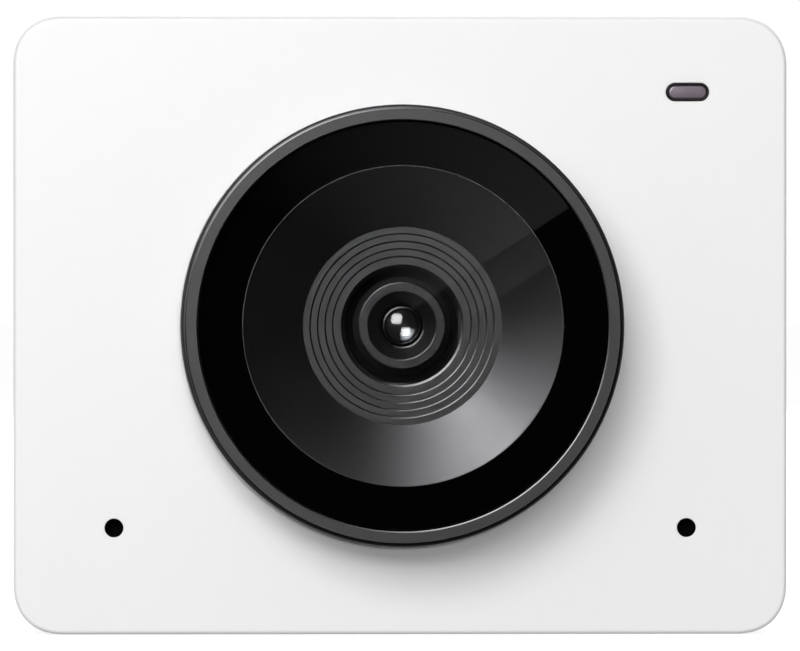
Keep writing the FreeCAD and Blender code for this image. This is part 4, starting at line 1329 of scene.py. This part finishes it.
def circuit_board():
    """Blue solder mask over copper tracks that run in two directions."""
    mask = (0.01, 0.05, 0.13, 1.0)
    over_copper = (0.03, 0.11, 0.22, 1.0)
    track_pitch = 0.5 * MM
    track_height = 0.03 * MM
    patch = 3 * MM          # spacing of the areas whose tracks run the other way
    patch_reach = 0.55      # share of that spacing at which the tracks turn
    copper_from = 0.75      # a wave higher than this is a track
    material = finish("Circuit board", mask, 0.35, size=3.0, change=0.1, coat=0.3)
    tree = material.node_tree
    surface = node_of(tree, "BSDF_PRINCIPLED")
    patches = add(tree, "TexVoronoi", {"distance": "MANHATTAN"}, Vector=scaled_place(tree, patch),
                  Scale=1.0)
    choose = math_node(tree, "GREATER_THAN", patches.outputs["Distance"], patch_reach)
    across = stripes(tree, track_pitch, (1.0, 0.0, 0.0))
    upward = stripes(tree, track_pitch, (0.0, 0.0, 1.0))
    mixed = add(tree, "Mix", {"data_type": "FLOAT"}, _0=choose, _2=across, _3=upward)
    track = math_node(tree, "GREATER_THAN", mixed.outputs[0], copper_from)
    tone = add(tree, "Mix", {"data_type": "RGBA"}, _0=track, _6=mask, _7=over_copper)
    tree.links.new(tone.outputs[2], surface.inputs["Base Color"])
    bump(tree, surface, math_node(tree, "MULTIPLY", track, track_height))
    return material


class WEBCAM_OT_stage(bpy.types.Operator):
    """Floor, lights and camera of the studio"""
    bl_idname = "webcam.stage"
    bl_label = "Stage"

    def execute(self, context):
        sizes = context.scene.webcam_stage
        make_floor(context.scene.webcam_colours)
        make_surroundings(sizes)
        make_camera(sizes)
        front = Vector((0, face_y, axis_z))
        rear = Vector((0, back_y, axis_z))
        softbox("Key softbox", front, place=(25, -125), distance=0.8, width=23,
                share=sizes.key, glossy=False)
        glow_panel(front, place=(25, -123), distance=0.4, width=30, share=sizes.glow)
        softbox("Top softbox", front, place=(9, -84), distance=0.4, width=9,
                share=sizes.top, glossy=False)
        softbox("Fill softbox", front, place=(1, -100), distance=0.4, width=2,
                share=sizes.fill, glossy=False)
        softbox("Back softbox", rear, place=(140, -60), distance=0.7, width=50,
                share=sizes.back)
        make_sheen_card(sizes)
        context.scene.view_settings.view_transform = "Standard"
        return {"FINISHED"}


def make_floor(colours):
    """A pale floor that keeps the shadow, looks white to the camera where it is lit, and is
    clear from below."""
    reach = 4.0
    front_end = -0.12
    drop = 0.05 * MM        # just below the webcam's base, so that the base shows from below
    camera_glow = 0.61      # lifts the lit floor to white
    bm = bmesh.new()
    bmesh.ops.create_grid(bm, x_segments=1, y_segments=1, size=reach)
    for corner in bm.verts:
        corner.co.y = max(corner.co.y, front_end)
        corner.co.z = -drop
    material, tree, surface = new_material("Studio floor", colours.floor)
    drift_over(tree, surface, colours.floor, 0.9, size=200, change=0.01, gloss=0.02)
    surface.inputs["Specular IOR Level"].default_value = 0.1
    surface.inputs["Emission Color"].default_value = (1.0, 1.0, 1.0, 1.0)
    path = tree.nodes.new("ShaderNodeLightPath")
    tree.links.new(math_node(tree, "MULTIPLY", path.outputs["Is Camera Ray"], camera_glow),
                   surface.inputs["Emission Strength"])
    sides = tree.nodes.new("ShaderNodeNewGeometry")
    show_through(tree, surface, sides.outputs["Backfacing"])
    floor = new_object("floor", bm, [material])
    floor.visible_diffuse = False
    floor.visible_glossy = False
    floor.visible_transmission = False


def make_surroundings(sizes):
    """White to the camera. To surfaces it is white behind the webcam and dim in front of it,
    and dull ones also see a soft sky at the upper left."""
    dim = 0.045
    dull_white = 0.7        # behind the webcam, as dull surfaces see it
    added_white = 0.3       # what metal and glass see there on top of that
    dim_to = -0.4           # Y of a direction up to which it is dim
    white_from = 0.6        # Y of a direction from which it is white
    sky_way = direction(72, -128)
    sky_rim = 0.3           # cosine of the angle from there at which the sky ends
    sky_core = 0.95         # cosine of the angle within which it is full
    world = bpy.data.worlds.new("Studio")
    bpy.context.scene.world = world
    world.use_nodes = True
    tree = world.node_tree
    tree.nodes.clear()
    output = tree.nodes.new("ShaderNodeOutputWorld")
    place = tree.nodes.new("ShaderNodeTexCoord")
    way = add(tree, "SeparateXYZ", Vector=place.outputs["Generated"])
    path = tree.nodes.new("ShaderNodeLightPath")
    shown = math_node(tree, "MAXIMUM", path.outputs["Is Glossy Ray"],
                      path.outputs["Is Transmission Ray"])
    white = math_node(tree, "MULTIPLY_ADD", shown, added_white, dull_white)
    behind = add(tree, "MapRange", Value=way.outputs["Y"], From_Min=dim_to, From_Max=white_from,
                 To_Min=dim, To_Max=white)
    slant = add(tree, "VectorMath", {"operation": "DOT_PRODUCT"}, _0=place.outputs["Generated"],
                _1=sky_way)
    high = add(tree, "MapRange", Value=slant.outputs["Value"], From_Min=sky_rim,
               From_Max=sky_core, To_Min=0.0, To_Max=sizes.sky)
    dull = math_node(tree, "SUBTRACT", 1.0, shown)
    above = math_node(tree, "MULTIPLY", high.outputs[0], dull)
    lit = math_node(tree, "MAXIMUM", behind.outputs[0], above)
    strength = math_node(tree, "MAXIMUM", lit, path.outputs["Is Camera Ray"])
    light = add(tree, "Background", Color=(1.0, 1.0, 1.0, 1.0), Strength=strength)
    tree.links.new(light.outputs[0], output.inputs["Surface"])


def direction(away, around):
    """A direction from the lens: degrees away from its axis, and round it as in the picture,
    from the right through the bottom."""
    tilt = math.radians(away)
    side = math.radians(around)
    return Vector((math.sin(tilt) * math.cos(side), -math.cos(tilt),
                   -math.sin(tilt) * math.sin(side)))


def softbox(name, target, place, distance, width, share, glossy=True):
    """A square soft light at its angles from the lens axis, as wide as the angle that it fills.
    A share of 1 makes a white surface that faces the lens axis as bright as white."""
    side = 2 * distance * math.tan(math.radians(width / 2))
    slant = abs(math.cos(math.radians(place[0])))
    data = bpy.data.lights.new(name, "AREA")
    data.shape = "SQUARE"
    data.size = side
    data.energy = share * (math.pi * distance) ** 2 / slant
    lamp = into_scene(name, data)
    way = direction(*place)
    lamp.location = target + way * distance
    lamp.rotation_euler = way.to_track_quat("Z", "Y").to_euler()
    lamp.visible_camera = False
    lamp.visible_glossy = glossy
    lamp.visible_transmission = False


def glow_panel(target, place, distance, width, share):
    """The key softbox as metal and glass mirror it: a square panel with rounded corners."""
    side = 2 * distance * math.tan(math.radians(width / 2))
    corner = 0.3 * side
    slant = math.cos(math.radians(place[0]))
    way = direction(*place)
    bm = bmesh.new()
    bmesh.ops.create_grid(bm, x_segments=1, y_segments=1, size=side / 2)
    round_corners(bm, bm.verts[:], corner, 12)
    rotate(bm, way.to_track_quat("Z", "Y").to_matrix())
    bmesh.ops.translate(bm, verts=bm.verts, vec=target + way * distance)
    material, tree = bare_material("Glow panel")
    shine(tree, share * math.pi * distance ** 2 / (side ** 2 * slant))
    panel = new_object("glow_panel", bm, [material])
    hide_from_camera(panel)
    panel.visible_transmission = False


def hide_from_camera(card):
    """Hides a card except where metal or glass mirrors it, or where it lies behind glass."""
    card.visible_camera = False
    card.visible_diffuse = False
    card.visible_shadow = False


def camera_place(sizes):
    back = Vector((-math.sin(sizes.azimuth), -math.cos(sizes.azimuth),
                   math.sin(sizes.elevation)))
    return Vector((0, face_y, axis_z)) + back * sizes.distance


def make_camera(sizes):
    data = bpy.data.cameras.new("Camera")
    data.lens = sizes.focal
    data.sensor_width = 36.0
    data.clip_start = 0.01
    camera = into_scene("Camera", data)
    camera.location = camera_place(sizes)
    way = Vector((-sizes.aim, face_y, axis_z)) - camera.location
    camera.rotation_euler = way.to_track_quat("-Z", "Y").to_euler()
    bpy.context.scene.camera = camera


def make_sheen_card(sizes):
    """A dim card behind the camera. The window mirrors it as a sector with one sharp edge."""
    centre = Vector((0.45 * MM, glass_low.y, axis_z + 0.9 * MM))    # shows the sector's corner
    radius = 60 * MM
    edge = math.radians(33)         # where the sector starts sharply
    end = math.radians(146)         # where it has faded
    eye = camera_place(sizes)
    far = 2.0
    mirrored = centre + (centre - eye) * far
    mirrored.y = glass_low.y - (glass_low.y - eye.y) * far
    bm = bmesh.new()
    bmesh.ops.create_circle(bm, cap_ends=True, radius=radius, segments=64)
    stand_up(bm, mirrored.x, mirrored.z)
    bmesh.ops.translate(bm, verts=bm.verts, vec=(0, mirrored.y, 0))
    bmesh.ops.reverse_faces(bm, faces=bm.faces)
    material, tree = bare_material("Sheen card")
    place = add(tree, "Mapping", Vector=tree.nodes.new("ShaderNodeTexCoord").outputs["Object"],
                Location=(-mirrored.x, 0, -mirrored.z))
    parts = add(tree, "SeparateXYZ", Vector=place.outputs[0])
    around = math_node(tree, "ARCTAN2", parts.outputs["Z"], parts.outputs["X"])
    fade = add(tree, "MapRange", Value=around, From_Min=edge, From_Max=end, To_Min=1.0,
               To_Max=0.0)
    started = math_node(tree, "GREATER_THAN", around, edge)
    strength = math_node(tree, "MULTIPLY", fade.outputs[0], started)
    shine(tree, math_node(tree, "MULTIPLY", strength, sizes.sheen))
    card = new_object("sheen_card", bm, [material])
    hide_from_camera(card)


class WEBCAM_PT_builder(bpy.types.Panel):
    """Lists the pieces and their sizes"""
    bl_label = "Webcam"
    bl_idname = "WEBCAM_PT_builder"
    bl_space_type = "VIEW_3D"
    bl_region_type = "UI"
    bl_category = "Webcam"

    def draw(self, context):
        layout = self.layout
        for operator in operators:
            layout.operator(operator.bl_idname)
        for holder in property_holders:
            box = layout.box()
            box.label(text=holder[len("webcam_"):].capitalize())
            group = getattr(context.scene, holder)
            for name in group.bl_rna.properties.keys():
                if name not in ("rna_type", "name"):
                    box.prop(group, name)


property_holders = {
    "webcam_body": WEBCAM_PG_body,
    "webcam_barrel": WEBCAM_PG_barrel,
    "webcam_lens": WEBCAM_PG_lens,
    "webcam_hardware": WEBCAM_PG_hardware,
    "webcam_colours": WEBCAM_PG_colours,
    "webcam_stage": WEBCAM_PG_stage,
}

operators = (
    WEBCAM_OT_front_shell,
    WEBCAM_OT_rear_shell,
    WEBCAM_OT_lens_housing,
    WEBCAM_OT_front_ring,
    WEBCAM_OT_window,
    WEBCAM_OT_cone,
    WEBCAM_OT_step_disc,
    WEBCAM_OT_lens,
    WEBCAM_OT_status_light,
    WEBCAM_OT_rear_screws,
    WEBCAM_OT_tripod_bush,
    WEBCAM_OT_socket,
    WEBCAM_OT_inner_parts,
    WEBCAM_OT_stage,
)


def register():
    for holder, group in property_holders.items():
        bpy.utils.register_class(group)
        setattr(bpy.types.Scene, holder, bpy.props.PointerProperty(type=group))
    for operator in operators:
        bpy.utils.register_class(operator)
    bpy.utils.register_class(WEBCAM_PT_builder)


def unregister():
    bpy.utils.unregister_class(WEBCAM_PT_builder)
    for operator in reversed(operators):
        bpy.utils.unregister_class(operator)
    for holder, group in property_holders.items():
        delattr(bpy.types.Scene, holder)
        bpy.utils.unregister_class(group)


def main():
    register()
    prepare_groups()
    bpy.ops.webcam.front_shell()
    bpy.ops.webcam.rear_shell()
    bpy.ops.webcam.lens_housing()
    bpy.ops.webcam.front_ring()
    bpy.ops.webcam.window()
    bpy.ops.webcam.cone()
    bpy.ops.webcam.step_disc()
    bpy.ops.webcam.lens()
    bpy.ops.webcam.status_light()
    bpy.ops.webcam.rear_screws()
    bpy.ops.webcam.tripod_bush()
    bpy.ops.webcam.socket()
    bpy.ops.webcam.inner_parts()
    bpy.ops.webcam.stage()


if __name__ == "__main__":
    main()
